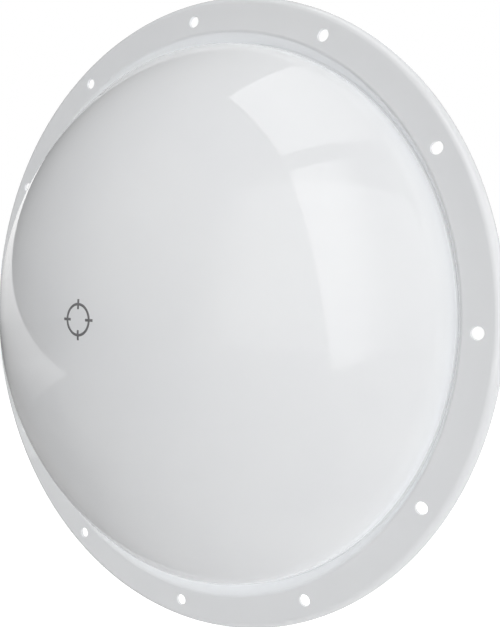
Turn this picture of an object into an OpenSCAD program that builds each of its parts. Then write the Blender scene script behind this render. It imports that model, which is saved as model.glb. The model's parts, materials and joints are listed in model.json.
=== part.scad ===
// Dish antenna under a domed radome, on a pole mount with tilt and swivel.
// Millimetres. The origin is the centre of the ring of open holes, on the radome flange's front face.
// The antenna looks along -Y, +X is to the right of somebody who faces it, and +Z is up.

/* [Radome] */
// Outside diameter of the radome, over its lip
radome_d = 650; // [646:1:656]
// Pitch circle of the open flange holes
bolt_circle_d = 610; // [608:1:612]
// Diameter of each open flange hole
flange_hole_d = 11; // [8:0.5:12]
// Number of open flange holes
flange_holes = 12; // [12]
// Height of the dome in front of the flange
dome_h = 151; // [146:1:156]
// Radius of the dome's crown
crown_r = 342.5; // [338:0.5:348]
// Radius of the knuckle between crown and wall
knuckle_r = 58; // [54:1:62]
// Diameter of the dome's wall, where it meets the groove
dome_base_d = 564; // [563:0.5:565]
// Depth of the lip behind the flange's front face
lip_depth = 10; // [9:0.5:14]
// Thickness of the radome's sheet
sheet = 3; // [2.6:0.1:3.2]

/* [Reflector and feed] */
// Focal length of the paraboloid
focal = 190; // [185:1:200]
// Radius of the paraboloid's aperture
aperture_r = 274; // [272:0.5:275]
// Thickness of the spun aluminium
spun = 1.6; // [1.4:0.1:1.8]
// Outside diameter of the feed's waveguide tube
feed_d = 42; // [40:1:43]
// Diameter of the subreflector
subreflector_d = 92; // [80:1:110]

/* [Mount] */
// Diameter of the pole that the clamp holds
pole_d = 50.8; // [48:0.1:52]
// Distance from the flange's front face back to the pole's axis
pole_y = 302; // [300:1:308]
// Height of each clamp jaw above or below the boresight
jaw_z = 75; // [74:1:80]
// Thickness of the folded steel brackets
plate = 4; // [3:0.5:4]
// Tilt upwards that the slots allow, in degrees
tilt_up = 25; // [10:1:25]
// Tilt downwards that the slots allow, in degrees
tilt_down = 15; // [5:1:15]
// Swivel each way that the slots allow, in degrees
swivel = 15; // [5:1:15]

/* [Hidden] */
$fn = 96;
eps = 0.01;      // overcut of a hole through a face
slip = 0.05;     // radial clearance of a nut or an insert on its screw
clear = 0.4;     // diametral clearance of a screw or a washer
loose = 1;       // diametral clearance of a bolt in a hole or slot that lets it shift
past = 1;        // how far a cutter runs past a face

// Radome: heights are measured forward from the flange's front face.
rim_r = radome_d / 2;
rim_corner_r = 7.5;
step_r = 289.4;                 // top of the groove's outer wall, where the flange ends
step_corner_r = 3.5;
step_draft = 5.1;
dome_r = dome_base_d / 2;
crown_z = dome_h - crown_r;
knuckle_angle = asin((dome_r - knuckle_r) / (crown_r - knuckle_r));
knuckle_z = crown_z + (crown_r - knuckle_r) * cos(knuckle_angle);
foot_r = step_r - step_draft;   // foot of the groove's outer wall
floor_back = knuckle_z - sheet; // the groove's floor lies where the knuckle ends
boss_pcd = 566;                 // the fixing bosses stand behind the groove's floor
boss_d = 8;
boss_phase = 180 / flange_holes;
insert_d = 5.4;
insert_l = 4.8;
m3 = 3;
m4 = 4;
m5 = 5;
m6 = 6;
m8 = 8;
reach = 5;                      // a small screw's thread beyond the piece that it holds

// Reflector
seal_t = 2;
seal_gap = 0.1;
seal_w = 15;                    // wide enough to run round both sides of each boss
seal_d = 551;
rim_front = floor_back - seal_t;
rim_out_r = 291.5;
rim_fold = 6;
rim_back = rim_front - spun;
boss_end = rim_back + 0.2;      // the washer bears on the rim before it meets the boss
rim_hole_d = 9.6;
rim_washer_d = 13;
rim_washer_t = 1.2;
rim_reach = 4.6;                // a radome screw's thread beyond its washer
vertex_z = rim_front - pow(aperture_r, 2) / (4 * focal);
flat_r = 75;                    // the flat centre of the spun bowl
flat_z = vertex_z + pow(flat_r, 2) / (4 * focal);
bowl_steps = 30;
// The sheet's back turns from the bowl to the rim, and from the bowl to the flat, a little outside its front.
rim_fold_r = aperture_r + spun * tan(atan(aperture_r / (2 * focal)) / 2);
flat_fold_r = flat_r + spun * tan(atan(flat_r / (2 * focal)) / 2);
ring_overhang = 2;              // the hole in the bowl's centre is smaller than the clamp ring's by this much

// Hub and feed
hub_d = 150;
hub_t = 12;
hub_front = flat_z - spun;
hub_back = hub_front - hub_t;
ring_in_d = 82;
ring_out_d = 134;
ring_t = 4;
hub_bolt_pcd = 112;
hub_bolts_n = 6;
hub_hole_d = 6.6;
groove_in_r = 22.5;             // groove of the feed's O-ring
groove_w = 2.8;
groove_depth = 1.6;
o_ring_w = 2.4;
o_ring_t = 1.45;
feed_flange_d = 74;
feed_flange_t = 6;
feed_wall = 2;
feed_end = 38;
feed_screw_pcd = 58;
choke_d = 62;
choke_h = 14;
choke_floor = 4;
choke_slots_r = [24, 27.6];
choke_slot_w = 2;
feed_bore_d = feed_d - 2 * feed_wall;
plug_depth = 20;                // how far the dielectric reaches into the feed's tube
subreflector_rim = 4;           // the subreflector's overhang past the dielectric
dielectric_end = 62;
splash_cone_r = 14;
splash_cone_h = 8;
splash_t = 3;
splash_boss_d = 22;
splash_boss_h = 3;

// Orthomode transducer behind the hub; y runs backward from here on
back_y = -hub_back;
omt_flange = 64;
omt_flange_t = 5;
omt_w = 50;
omt_end_y = back_y + 50;
omt_end_wall = 6;
omt_screw_at = 27;
fin_w = 2;
fin_h = 2;
fin_pitch = 10;
jack_x = 13;
jack_y = back_y + 30;
jack_d = 6.4;
jack_l = 10;
jack_base = 11;
jack_base_t = 2;
jack_collar_d = 8;
jack_collar_h = 4;
plug_across = 9;
plug_nut_l = 8;
boot_d = 7;
boot_l = 9;
plug_gap = 4.2;                 // from a jack's flange to its plug

// Tilt bracket and yoke
ear_x = 77;                     // outer face of the tilt bracket's ears
base_half_z = 58;
tilt_y = back_y + plate + 59;
tilt_z = 26;
tilt_ear_r = 19;
slot_land = 13;                 // from the slot's middle line to the edge of the ear
ear_root = 14;                  // the ears stop short of the base plate's ends by this much
yoke_ear_r = 15;
yoke_foot_r = 12;
yoke_chamfer = 4;
lock_r = 50;
pivot_d = 10;
lock_d = m8;
lock_hole_d = lock_d + 0.5;
turn_slip = 0.2;                // diametral clearance of a pivot in its hole
slot_margin = 1;                // degrees that the slots run on past the limits
bolt_proud = 6;                 // an ear bolt's thread beyond its nut, with the nut's own play
yoke_gap = 0.5;
washer_gap = 0.2;               // between a washer and the ear or tab that turns under it
yoke_x = ear_x - plate - yoke_gap;
yoke_base_y = tilt_y + 24;
yoke_half_z = 52;
swivel_y = yoke_base_y + plate + 22;
swivel_d = 12;
swivel_lock_x = 27;
swivel_washer_t = 2.5;
swivel_proud = 14;              // from the lower swivel washer to the bolt's end
spacer_gap = 0.2;
tab_half = 37;
tab_reach = 8;                  // a tab's end beyond the swivel's axis
tab_corner_r = 6;
yoke_window_d = 44;
hub_bolt_x = 48;
hub_bolt_z = 42;

// Pole bracket and clamp
pole_base_y = pole_y - 36;
pole_plate = 5;
pole_tab_z = yoke_half_z + yoke_gap;
pole_base_x = 58;
pole_base_z = 92;
pole_base_hole_x = 30;
pole_base_hole_d = 16;
tooth_w = 1.6;
tooth_h = 1.2;
jaw_shelf = 8;                  // thickness of a jaw where its nuts bear
jaw_crown_x = 30;
nut_seat_d = 20;
carriage_d = 18;
carriage_h = 4.5;
saddle_h = 16;
saddle_y = pole_y - 14;
saddle_x = 37;
jaw_y = pole_y + 14;
jaw_t = 17;
jaw_x = 57;
clamp_bolt_x = 46;
clamp_bolt_d = m8;
clamp_bolt_end = pole_y + 72;

// Radio unit
radio_w = 80;
radio_top = -102;
radio_bottom = -240;
radio_y = back_y + 6.5;
radio_depth = 34;
radio_wall = 2.5;
radio_mid_y = radio_y + radio_depth / 2;
radio_back_y = radio_y + radio_depth;
radio_split = radio_y + 20;
radio_r = 12;
radio_inner_r = 9.5;
radio_step = 3;                 // the rear cover's raised panel stands in from its edge by this much
radio_step_h = 4;
radio_h = radio_top - radio_bottom;
radio_mid = (radio_top + radio_bottom) / 2;
cover_screw_in = 10;            // from the radio's sides to its cover screws
cover_thread = 8;
cover_head_depth = 3;
cover_head_d = 7;
post_d = 7;
pad_d = 14;
pad_h = 0.5;
gasket_r = 11.3;
gasket_in = 0.7;                // from the radio's outline to the gasket
gasket_w = 1.1;
gasket_t = 1;
bay_w = 66;
bay_inset = 5;
bay_bottom = -258;
port_w = 18;
port_d = 16;
port_h = 15;
port_slip = 0.2;
plug_way_w = 12;
plug_way_d = 8;
latch_way_w = 6;
cover_bottom = -263;
cover_wall = 2.2;
cover_r = 8;
cover_gap = 0.4;
bracket_t = 2;
bracket_w = 56;
bracket_y = back_y + plate;
bracket_top = -40;
bracket_end = radio_bottom + 8;
bracket_flange = 7;
bracket_flange_l = 118;
cable_way_z = -78;
cable_way_d = 22;
ground_x = 20;
ground_z = -88;
ground_t = 1.5;
ground_w = 12;
board_w = 64;
board_t = 1.6;
board_y = radio_y + 12;
led_d = 2.8;
led_pitch = 9;
led_z = radio_bottom + 16;
button_x = 24;
button_d = 4.4;
button_l = 10;
button_proud = 1.2;
foot_screw_x = 20;
foot_screw_z = -48;
radio_screw_z = [-125, -215];
gland_bore_d = 6.5;
gland_d = 13.8;
gland_collar_r = 9;
gland_nut_r = 8.5;
gland_nut_h = 1.5;

// Hexagon heads and nuts by their thread: across the flats, the head's height and the nut's.
function across(d) = lookup(d, [[6, 10], [8, 13], [10, 16], [12, 18]]);
function head_h(d) = lookup(d, [[6, 4], [8, 5.3], [10, 6.4], [12, 7.5]]);
function nut_h(d) = lookup(d, [[8, 6.5], [10, 8], [12, 10]]);
// Pan heads by their thread.
function pan_d(d) = lookup(d, [[3, 5.6], [4, 7.5], [5, 9]]);
function pan_h(d) = lookup(d, [[3, 2.4], [4, 3], [5, 3.2]]);
// Flat washers by their thread.
function washer_d(d) = lookup(d, [[8, 16], [10, 20], [12, 24]]);
function washer_t(d) = lookup(d, [[8, 1.6], [10, 2], [12, 2.5]]);

// Points on an arc; first = 1 leaves out the first one, where an outline already holds it.
function arc(cx, cy, r, from, to, n = 8, first = 0) =
    [for (i = [first : n]) let (a = from + (to - from) * i / n) [cx + r * cos(a), cy + r * sin(a)]];
// A slot of width w that follows a circle of radius r about the origin, with round ends.
function curved_slot(r, w, from, to) = concat(
    arc(0, 0, r + w / 2, from, to, 16),
    arc(r * cos(to), r * sin(to), w / 2, to, to + 180, 8, 1),
    arc(0, 0, r - w / 2, to, from, 16, 1),
    [for (i = [1 : 7]) let (a = from + 180 + 180 * i / 8)
        [r * cos(from) + w / 2 * cos(a), r * sin(from) + w / 2 * sin(a)]]);
function rounded(w, h, r) = concat(
    arc(w / 2 - r, h / 2 - r, r, 0, 90), arc(r - w / 2, h / 2 - r, r, 90, 180),
    arc(r - w / 2, r - h / 2, r, 180, 270), arc(w / 2 - r, r - h / 2, r, 270, 360));
function bowl(r, back = 0) = vertex_z + r * r / (4 * focal) - back * sqrt(1 + pow(r / (2 * focal), 2));

// Local +Z looks forward along the boresight and local +Y looks up.
module boresight() rotate([90, 0, 0]) children();
module ring_of(n, pcd, phase = 0)
    for (i = [0 : n - 1]) rotate(phase + 360 * i / n) translate([pcd / 2, 0, 0]) children();
module at_corners(x, y) for (sx = [-1, 1], sy = [-1, 1]) translate([sx * x, sy * y, 0]) children();
// Head above z = 0 and shank below it.
module hex_bolt(d, length) {
    cylinder(d = across(d) / cos(30), h = head_h(d), $fn = 6);
    translate([0, 0, -length]) cylinder(d = d, h = length + eps);
}
module pan_screw(d, length) {
    difference() {
        cylinder(d = pan_d(d), h = pan_h(d));
        translate([0, 0, pan_h(d) - 1.2]) cylinder(d = d * 0.7, h = 2, $fn = 6);
    }
    translate([0, 0, -length]) cylinder(d = d, h = length + eps);
}
module hex_nut(d) difference() {
    cylinder(d = across(d) / cos(30), h = nut_h(d), $fn = 6);
    translate([0, 0, -eps]) cylinder(d = d + 2 * slip, h = nut_h(d) + 2 * eps);
}
module washer(bore, outer, t) difference() {
    cylinder(d = outer, h = t);
    translate([0, 0, -eps]) cylinder(d = bore, h = t + 2 * eps);
}
module flat_washer(d) washer(d + clear, washer_d(d), washer_t(d));
// A plate in the YZ plane, from x to x + t, drawn as a polygon of [y, z].
module side_plate(x, t) translate([x, 0, 0]) rotate([90, 0, 90]) linear_extrude(t) children();
// A cylinder along X, from x, for bolts and holes through the ears.
module along_x(x, y, z) translate([x, y, z]) rotate([0, 90, 0]) children();
module along_y(x, y, z) translate([x, y, z]) rotate([-90, 0, 0]) children();

// ---- radome ----
// The radome's section: along its outer face from the apex to the lip, and back along its inner face.
module radome_profile() polygon(concat(
    arc(0, crown_z, crown_r, 90, 90 - knuckle_angle, 48),
    arc(dome_r - knuckle_r, knuckle_z, knuckle_r, 90 - knuckle_angle, 0, 20, 1),
    [[foot_r, knuckle_z]],
    arc(step_r + step_corner_r, -step_corner_r, step_corner_r, 180, 90, 8),
    arc(rim_r - rim_corner_r, -rim_corner_r, rim_corner_r, 90, 0, 12),
    arc(rim_r - sheet / 2, sheet / 2 - lip_depth, sheet / 2, 0, -180, 12),
    arc(rim_r - rim_corner_r, -rim_corner_r, rim_corner_r - sheet, 0, 90, 12),
    arc(step_r + step_corner_r, -step_corner_r, step_corner_r - sheet, 90, 180, 4),
    [[foot_r + sheet, floor_back], [dome_r - sheet, floor_back]],
    arc(dome_r - knuckle_r, knuckle_z, knuckle_r - sheet, 0, 90 - knuckle_angle, 20),
    arc(0, crown_z, crown_r - sheet, 90 - knuckle_angle, 90, 48, 1)));
module radome_shell() color("#e9ebec") boresight() difference() {
    union() {
        rotate_extrude($fn = 360) radome_profile();
        ring_of(flange_holes, boss_pcd, boss_phase)
            translate([0, 0, boss_end]) cylinder(d = boss_d, h = floor_back - boss_end + sheet / 2);
    }
    ring_of(flange_holes, bolt_circle_d) translate([0, 0, -sheet - past])
        cylinder(d = flange_hole_d, h = sheet + 2 * past);
    ring_of(flange_holes, boss_pcd, boss_phase)
        translate([0, 0, boss_end - past]) cylinder(d = insert_d + 2 * slip, h = insert_l + past + 0.1);
}
module radome_inserts() color("#b08d45") boresight()
    ring_of(flange_holes, boss_pcd, boss_phase) translate([0, 0, boss_end])
        washer(m4 + 2 * slip, insert_d, insert_l);

// ---- reflector and what clamps the radome to it ----
module reflector() color("#dfe1e2") boresight() difference() {
    rotate_extrude($fn = 360) polygon(concat(
        [for (i = [0 : bowl_steps]) let (r = flat_r + (aperture_r - flat_r) * i / bowl_steps) [r, bowl(r)]],
        [[rim_out_r, rim_front], [rim_out_r, rim_front - rim_fold],
         [rim_out_r - spun, rim_front - rim_fold], [rim_out_r - spun, rim_back], [rim_fold_r, rim_back]],
        [for (i = [bowl_steps - 1 : -1 : 1]) let (r = flat_r + (aperture_r - flat_r) * i / bowl_steps)
            [r, bowl(r, spun)]],
        [[flat_fold_r, hub_front], [ring_in_d / 2 - ring_overhang, hub_front],
         [ring_in_d / 2 - ring_overhang, flat_z]]));
    ring_of(flange_holes, boss_pcd, boss_phase)
        translate([0, 0, rim_back - past]) cylinder(d = rim_hole_d, h = spun + 2 * past);
    ring_of(hub_bolts_n, hub_bolt_pcd) translate([0, 0, hub_front - past])
        cylinder(d = hub_hole_d, h = spun + 2 * past);
}
module rim_seal() color("#2b2c2e") boresight() difference() {
    translate([0, 0, rim_front]) washer(seal_d, seal_d + 2 * seal_w, seal_t - seal_gap);
    ring_of(flange_holes, boss_pcd, boss_phase)
        translate([0, 0, rim_front - past]) cylinder(d = rim_hole_d, h = seal_t + 2 * past);
}
module radome_washers() color("#b9bcbf") boresight() ring_of(flange_holes, boss_pcd, boss_phase)
    translate([0, 0, rim_back - rim_washer_t]) washer(m4 + clear, rim_washer_d, rim_washer_t);
module radome_screws() color("#b9bcbf") boresight() ring_of(flange_holes, boss_pcd, boss_phase)
    translate([0, 0, rim_back - rim_washer_t]) mirror([0, 0, 1]) pan_screw(m4, rim_washer_t + rim_reach);

// ---- hub and feed ----
module front_clamp_ring() color("#c3c6c9") boresight() difference() {
    translate([0, 0, flat_z]) washer(ring_in_d, ring_out_d, ring_t);
    ring_of(hub_bolts_n, hub_bolt_pcd) translate([0, 0, flat_z - past])
        cylinder(d = hub_hole_d, h = ring_t + 2 * past);
}
module hub_plate() color("#aeb2b5") boresight() difference() {
    translate([0, 0, hub_back]) cylinder(d = hub_d, h = hub_t);
    translate([0, 0, hub_back - past]) cylinder(d = feed_bore_d, h = hub_t + 2 * past);
    ring_of(hub_bolts_n, hub_bolt_pcd) translate([0, 0, hub_back + 2]) cylinder(d = m6 + 2 * slip, h = hub_t);
    ring_of(4, feed_screw_pcd, 45) translate([0, 0, hub_front - reach - 1])
        cylinder(d = m4 + 2 * slip, h = reach + 2);
    translate([0, 0, hub_front - groove_depth]) rotate_extrude() translate([groove_in_r, 0])
        square([groove_w, 2 * groove_depth]);
    at_corners(omt_screw_at, omt_screw_at) translate([0, 0, hub_back - past])
        cylinder(d = m4 + 2 * slip, h = reach + 2);
    at_corners(hub_bolt_x, hub_bolt_z) translate([0, 0, hub_back - past])
        cylinder(d = m8 + 2 * slip, h = m8 + 2);
}
module hub_bolts() color("#8f9396") boresight() ring_of(hub_bolts_n, hub_bolt_pcd)
    translate([0, 0, flat_z + ring_t]) hex_bolt(m6, 15);
module feed_tube() color("#c9ccce") boresight() difference() {
    union() {
        translate([0, 0, hub_front]) cylinder(d = feed_flange_d, h = feed_flange_t);
        translate([0, 0, hub_front]) cylinder(d = feed_d, h = feed_end - hub_front);
    }
    translate([0, 0, hub_front - past]) cylinder(d = feed_bore_d, h = feed_end - hub_front + 2 * past);
    ring_of(4, feed_screw_pcd, 45) translate([0, 0, hub_front - past])
        cylinder(d = m4 + clear, h = feed_flange_t + 2 * past);
}
module feed_o_ring() color("#222324") boresight() translate([0, 0, hub_front - groove_depth + 0.1])
    washer(2 * groove_in_r + clear, 2 * (groove_in_r + o_ring_w) + clear, o_ring_t);
module feed_screws() color("#8f9396") boresight() ring_of(4, feed_screw_pcd, 45)
    translate([0, 0, hub_front + feed_flange_t]) pan_screw(m4, feed_flange_t + reach);
module feed_choke_ring() color("#b5b8ba") boresight() difference() {
    translate([0, 0, feed_end - choke_h]) washer(feed_d + 2 * slip, choke_d, choke_h);
    for (r = choke_slots_r) translate([0, 0, feed_end - choke_h + choke_floor]) rotate_extrude()
        translate([r, 0]) square([choke_slot_w, choke_h]);
}
module feed_dielectric() color("#f2f1ec") boresight() difference() {
    union() {
        translate([0, 0, feed_end - plug_depth]) cylinder(d = feed_bore_d - 2 * slip, h = plug_depth + 0.1);
        translate([0, 0, feed_end])
            cylinder(d1 = feed_d, d2 = subreflector_d - 2 * subreflector_rim, h = dielectric_end - feed_end);
    }
    translate([0, 0, dielectric_end - splash_cone_h - 0.2])
        cylinder(r1 = 0, r2 = splash_cone_r + 0.4, h = splash_cone_h + 0.3);
    translate([0, 0, feed_end - m4])
        cylinder(d = m4 + 2 * slip, h = dielectric_end - feed_end + m4 + past);
}
module subreflector() color("#c9ccce") boresight() difference() {
    union() {
        translate([0, 0, dielectric_end]) cylinder(d = subreflector_d, h = splash_t);
        translate([0, 0, dielectric_end - splash_cone_h])
            cylinder(r1 = 0, r2 = splash_cone_r, h = splash_cone_h + eps);
        translate([0, 0, dielectric_end + splash_t - eps]) cylinder(d = splash_boss_d, h = splash_boss_h);
    }
    translate([0, 0, dielectric_end - splash_cone_h - past])
        cylinder(d = m4 + clear, h = splash_cone_h + splash_t + splash_boss_h + 2 * past);
}
module subreflector_screw() color("#8f9396") boresight()
    translate([0, 0, dielectric_end + splash_t + splash_boss_h - eps]) pan_screw(m4, 28);

// ---- orthomode transducer and jumpers ----
module omt_fin() translate([omt_w / 2 - eps, -fin_w / 2, 4 - omt_end_y])
    cube([fin_h + eps, fin_w, omt_end_y - back_y - 14]);
module omt_body() color("#b5b8ba") boresight() difference() {
    union() {
        translate([0, 0, -back_y - omt_flange_t]) linear_extrude(omt_flange_t)
            polygon(rounded(omt_flange, omt_flange, 8));
        translate([0, 0, -omt_end_y]) linear_extrude(omt_end_y - back_y) polygon(rounded(omt_w, omt_w, 4));
        for (side = [0, 90, 180], k = [-1.5 : 1.5]) rotate(side) translate([0, fin_pitch * k, 0]) omt_fin();
    }
    translate([0, 0, omt_end_wall - omt_end_y]) cylinder(d = feed_bore_d, h = omt_end_y - back_y);
    at_corners(omt_screw_at, omt_screw_at) translate([0, 0, -back_y - omt_flange_t - past])
        cylinder(d = m4 + clear, h = omt_flange_t + 2 * past);
}
module omt_screws() color("#8f9396") boresight() at_corners(omt_screw_at, omt_screw_at)
    translate([0, 0, -back_y - omt_flange_t]) mirror([0, 0, 1]) pan_screw(m4, omt_flange_t + reach);
// A coaxial jack along +Z with its square flange at z = 0.
module jack() {
    translate([-jack_base / 2, -jack_base / 2, 0]) cube([jack_base, jack_base, jack_base_t]);
    cylinder(d = jack_collar_d, h = jack_collar_h);
    cylinder(d = jack_d, h = jack_l);
}
module omt_jacks() color("#c8a24a") for (s = [-1, 1])
    translate([s * jack_x, jack_y, -omt_w / 2]) mirror([0, 0, 1]) jack();
module radio_rf_jacks() color("#c8a24a") for (s = [-1, 1])
    translate([s * jack_x, radio_mid_y, radio_top]) jack();
// Coupling nut and boot of a jumper, from z = 0 at the jack's flange side.
module plug() difference() {
    union() {
        cylinder(d = plug_across / cos(30), h = plug_nut_l, $fn = 6);
        translate([0, 0, plug_nut_l]) cylinder(d = boot_d, h = boot_l);
    }
    translate([0, 0, -past]) cylinder(d = jack_d + 0.3, h = jack_l - plug_gap + past + 0.4);
}
module jumper_plugs() color("#8f9396") for (s = [-1, 1]) {
    translate([s * jack_x, jack_y, -omt_w / 2 - plug_gap]) mirror([0, 0, 1]) plug();
    translate([s * jack_x, radio_mid_y, radio_top + plug_gap]) plug();
}
// The jumper's centre line falls from the transducer to the radio in a smooth S with a slight outward bow.
jumper_d = 5;
jumper_top = -omt_w / 2 - plug_gap - plug_nut_l - boot_l;
jumper_bottom = radio_top + plug_gap + plug_nut_l + boot_l;
jumper_steps = 18;
jumper_bow = 7;
function jumper_point(t, s) = [s * (jack_x + jumper_bow * pow(sin(180 * t), 2)),
    jack_y + (radio_mid_y - jack_y) * t * t * (3 - 2 * t), jumper_top + (jumper_bottom - jumper_top) * t];
function sweep_point(t, s, a) = jumper_point(t, s) + jumper_d / 2 * [cos(a), sin(a), 0];
module jumper(s) {
    sides = 10;
    points = [for (i = [0 : jumper_steps], k = [0 : sides - 1])
        sweep_point(i / jumper_steps, s, 360 * k / sides)];
    faces = concat(
        [[for (k = [sides - 1 : -1 : 0]) k + jumper_steps * sides]],
        [[for (k = [0 : sides - 1]) k]],
        [for (i = [0 : jumper_steps - 1], k = [0 : sides - 1]) let (n = (k + 1) % sides)
            [i * sides + k, (i + 1) * sides + k, (i + 1) * sides + n, i * sides + n]]);
    polyhedron(points, faces, convexity = 4);
}
module jumper_cables() color("#1f2022") for (s = [-1, 1]) jumper(s);

// ---- tilt bracket, bolted to the hub ----
function lock_at(angle) = [tilt_y + lock_r * sin(angle), tilt_z - lock_r * cos(angle)];
// An ear: from the base plate back to a round end about the pivot, and down around the slot.
function tilt_ear_outline() = concat(
    [[back_y, base_half_z - ear_root]],
    arc(tilt_y, tilt_z, tilt_ear_r, 75, 0, 10),
    arc(lock_at(tilt_up)[0], lock_at(tilt_up)[1], slot_land, 10, -80, 8),
    [[lock_at(-tilt_down)[0] + 4, lock_at(-tilt_down)[1] - slot_land - 2],
        [back_y, ear_root - base_half_z]]);
// Local +X is down and local +Y is toward the pole.
module tilt_slot(x, t) along_x(x, tilt_y, tilt_z) linear_extrude(t)
    polygon(curved_slot(lock_r, lock_d + loose, -tilt_down - slot_margin, tilt_up + slot_margin));
module tilt_bracket() color("#9ea3a7") difference() {
    union() {
        boresight() translate([0, 0, -back_y - plate]) linear_extrude(plate)
            polygon(rounded(2 * ear_x - 2 * plate + eps, 2 * base_half_z, 6));
        for (x = [-ear_x, ear_x - plate]) side_plate(x, plate) polygon(tilt_ear_outline());
    }
    boresight() translate([0, 0, -back_y - plate - past]) linear_extrude(plate + 2 * past)
        polygon(rounded(omt_flange + 4, omt_flange + 4, 9));
    boresight() at_corners(hub_bolt_x, hub_bolt_z) translate([0, 0, -back_y - plate - past])
        cylinder(d = m8 + loose, h = plate + 2 * past);
    for (s = [-1, 1]) along_y(s * foot_screw_x, back_y - past, foot_screw_z)
        cylinder(d = m5 + 2 * slip, h = plate + 2 * past);
    along_x(-ear_x - past, tilt_y, tilt_z) cylinder(d = pivot_d + turn_slip, h = 2 * (ear_x + past));
    for (x = [-ear_x - past, ear_x - plate - past]) tilt_slot(x, plate + 2 * past);
}
module tilt_bracket_washers() color("#b9bcbf") boresight() at_corners(hub_bolt_x, hub_bolt_z)
    translate([0, 0, -back_y - plate - washer_t(m8)]) flat_washer(m8);
module tilt_bracket_bolts() color("#8f9396") boresight() at_corners(hub_bolt_x, hub_bolt_z)
    translate([0, 0, -back_y - plate - washer_t(m8)]) mirror([0, 0, 1])
        hex_bolt(m8, plate + washer_t(m8) + m8);

// ---- radio unit, on a bracket under the hub ----
// Bracket plate in the XZ plane behind the tilt bracket's foot, held by two screws to it.
module radio_bracket() color("#9ea3a7") difference() {
    union() {
        translate([0, bracket_y + bracket_t, (bracket_top + bracket_end) / 2]) rotate([90, 0, 0])
            linear_extrude(bracket_t) polygon(rounded(bracket_w, bracket_top - bracket_end, 5));
        for (x = [-bracket_w / 2, bracket_w / 2 - bracket_t])
            translate([x, bracket_y - bracket_flange, bracket_end + 10])
                cube([bracket_t, bracket_flange + bracket_t, bracket_flange_l]);
    }
    for (s = [-1, 1]) bracket_hole(s * foot_screw_x, foot_screw_z, m5 + clear);
    for (z = radio_screw_z) bracket_hole(0, z, m5 + clear);
    bracket_hole(0, cable_way_z, cable_way_d);
    bracket_hole(ground_x, ground_z, m4 + 0.2);
}
module bracket_hole(x, z, d) along_y(x, bracket_y - past, z) cylinder(d = d, h = bracket_t + 2 * past);
module radio_mount_screws() color("#8f9396") {
    for (s = [-1, 1]) along_y(s * foot_screw_x, bracket_y + bracket_t, foot_screw_z)
        pan_screw(m5, bracket_t + plate - 0.5);
    for (z = radio_screw_z) along_y(0, bracket_y, z) mirror([0, 0, 1]) pan_screw(m5, bracket_t + 4.5);
}
module radio_block(w, h, r, from_y, to_y) translate([0, to_y, radio_mid]) rotate([90, 0, 0])
    linear_extrude(to_y - from_y) polygon(rounded(w, h, r));
module radio_hollow(from_y, to_y)
    radio_block(radio_w - 2 * radio_wall, radio_h - 2 * radio_wall, radio_inner_r, from_y, to_y);
module at_cover_screws(y) for (sx = [-1, 1], sz = [-1, 1])
    along_y(sx * (radio_w / 2 - cover_screw_in), y, radio_mid + sz * (radio_h / 2 - cover_screw_in))
        children();
module radio_housing() color("#eceded") difference() {
    union() {
        radio_block(radio_w, radio_h, radio_r, radio_y, radio_split);
        for (z = radio_screw_z) along_y(0, radio_y - pad_h, z) cylinder(d = pad_d, h = pad_h + radio_wall);
    }
    difference() {
        radio_hollow(radio_y + radio_wall, radio_split + past);
        for (z = radio_screw_z) along_y(0, radio_y, z) cylinder(d = 11, h = 8);
        at_cover_screws(radio_y) cylinder(d = post_d, h = radio_depth);
    }
    for (z = radio_screw_z) along_y(0, radio_y - past, z) cylinder(d = m5 + 2 * slip, h = 7);
    at_cover_screws(radio_split - 10) cylinder(d = m3 + 2 * slip, h = 12);
    for (s = [-1, 1]) translate([s * jack_x, radio_mid_y, radio_top - 5]) cylinder(d = 5, h = 10);
}
// A closed strip that follows the radio's outline, in a groove of the rear cover.
module gasket_strip(slack) difference() {
    radio_block(radio_w - 2 * gasket_in + slack, radio_h - 2 * gasket_in + slack, gasket_r,
        radio_split, radio_split + gasket_t + slack);
    radio_block(radio_w - 2 * (gasket_in + gasket_w) - slack, radio_h - 2 * (gasket_in + gasket_w) - slack,
        gasket_r - gasket_w, radio_split - past, radio_split + gasket_t + 2);
}
module radio_gasket() color("#2b2c2e") gasket_strip(0);
module radio_rear_cover() color("#eceded") difference() {
    union() {
        radio_block(radio_w, radio_h, radio_r, radio_split, radio_back_y - radio_step_h);
        radio_block(radio_w - 2 * radio_step, radio_h - 2 * radio_step, radio_r - radio_step,
            radio_back_y - radio_step_h - eps, radio_back_y);
    }
    difference() {
        radio_hollow(radio_split - past, radio_back_y - radio_step_h - past);
        at_cover_screws(radio_split - 2) cylinder(d = post_d + 0.5, h = radio_depth);
    }
    gasket_strip(0.2);
    at_cover_screws(radio_split - 2) cylinder(d = m3 + clear, h = radio_depth);
    at_cover_screws(radio_back_y - cover_head_depth) cylinder(d = cover_head_d, h = cover_head_depth + 2);
    at_leds(radio_back_y - 8) cylinder(d = led_d + 0.2, h = 10);
}
module radio_cover_screws() color("#8f9396") at_cover_screws(radio_back_y - cover_head_depth)
    pan_screw(m3, radio_back_y - cover_head_depth - radio_split + cover_thread);
module radio_board() color("#2f6b3f") difference() {
    union() {
        radio_block(board_w, radio_h - 12, 3, board_y, board_y + board_t);
        translate([-20, board_y + board_t - 0.1, radio_mid + 8]) cube([40, 3.5, 36]);
        translate([-16, board_y + board_t - 0.1, radio_mid - 40]) cube([22, 2.5, 22]);
    }
    at_cover_screws(board_y - past) cylinder(d = post_d + 1, h = 8);
}
module at_leds(y) for (k = [-1.5 : 1.5]) along_y(led_pitch * k, y, led_z) children();
module status_leds() color("#4fb36a") at_leds(radio_back_y - 6) cylinder(d = led_d, h = 6.4);
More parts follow.
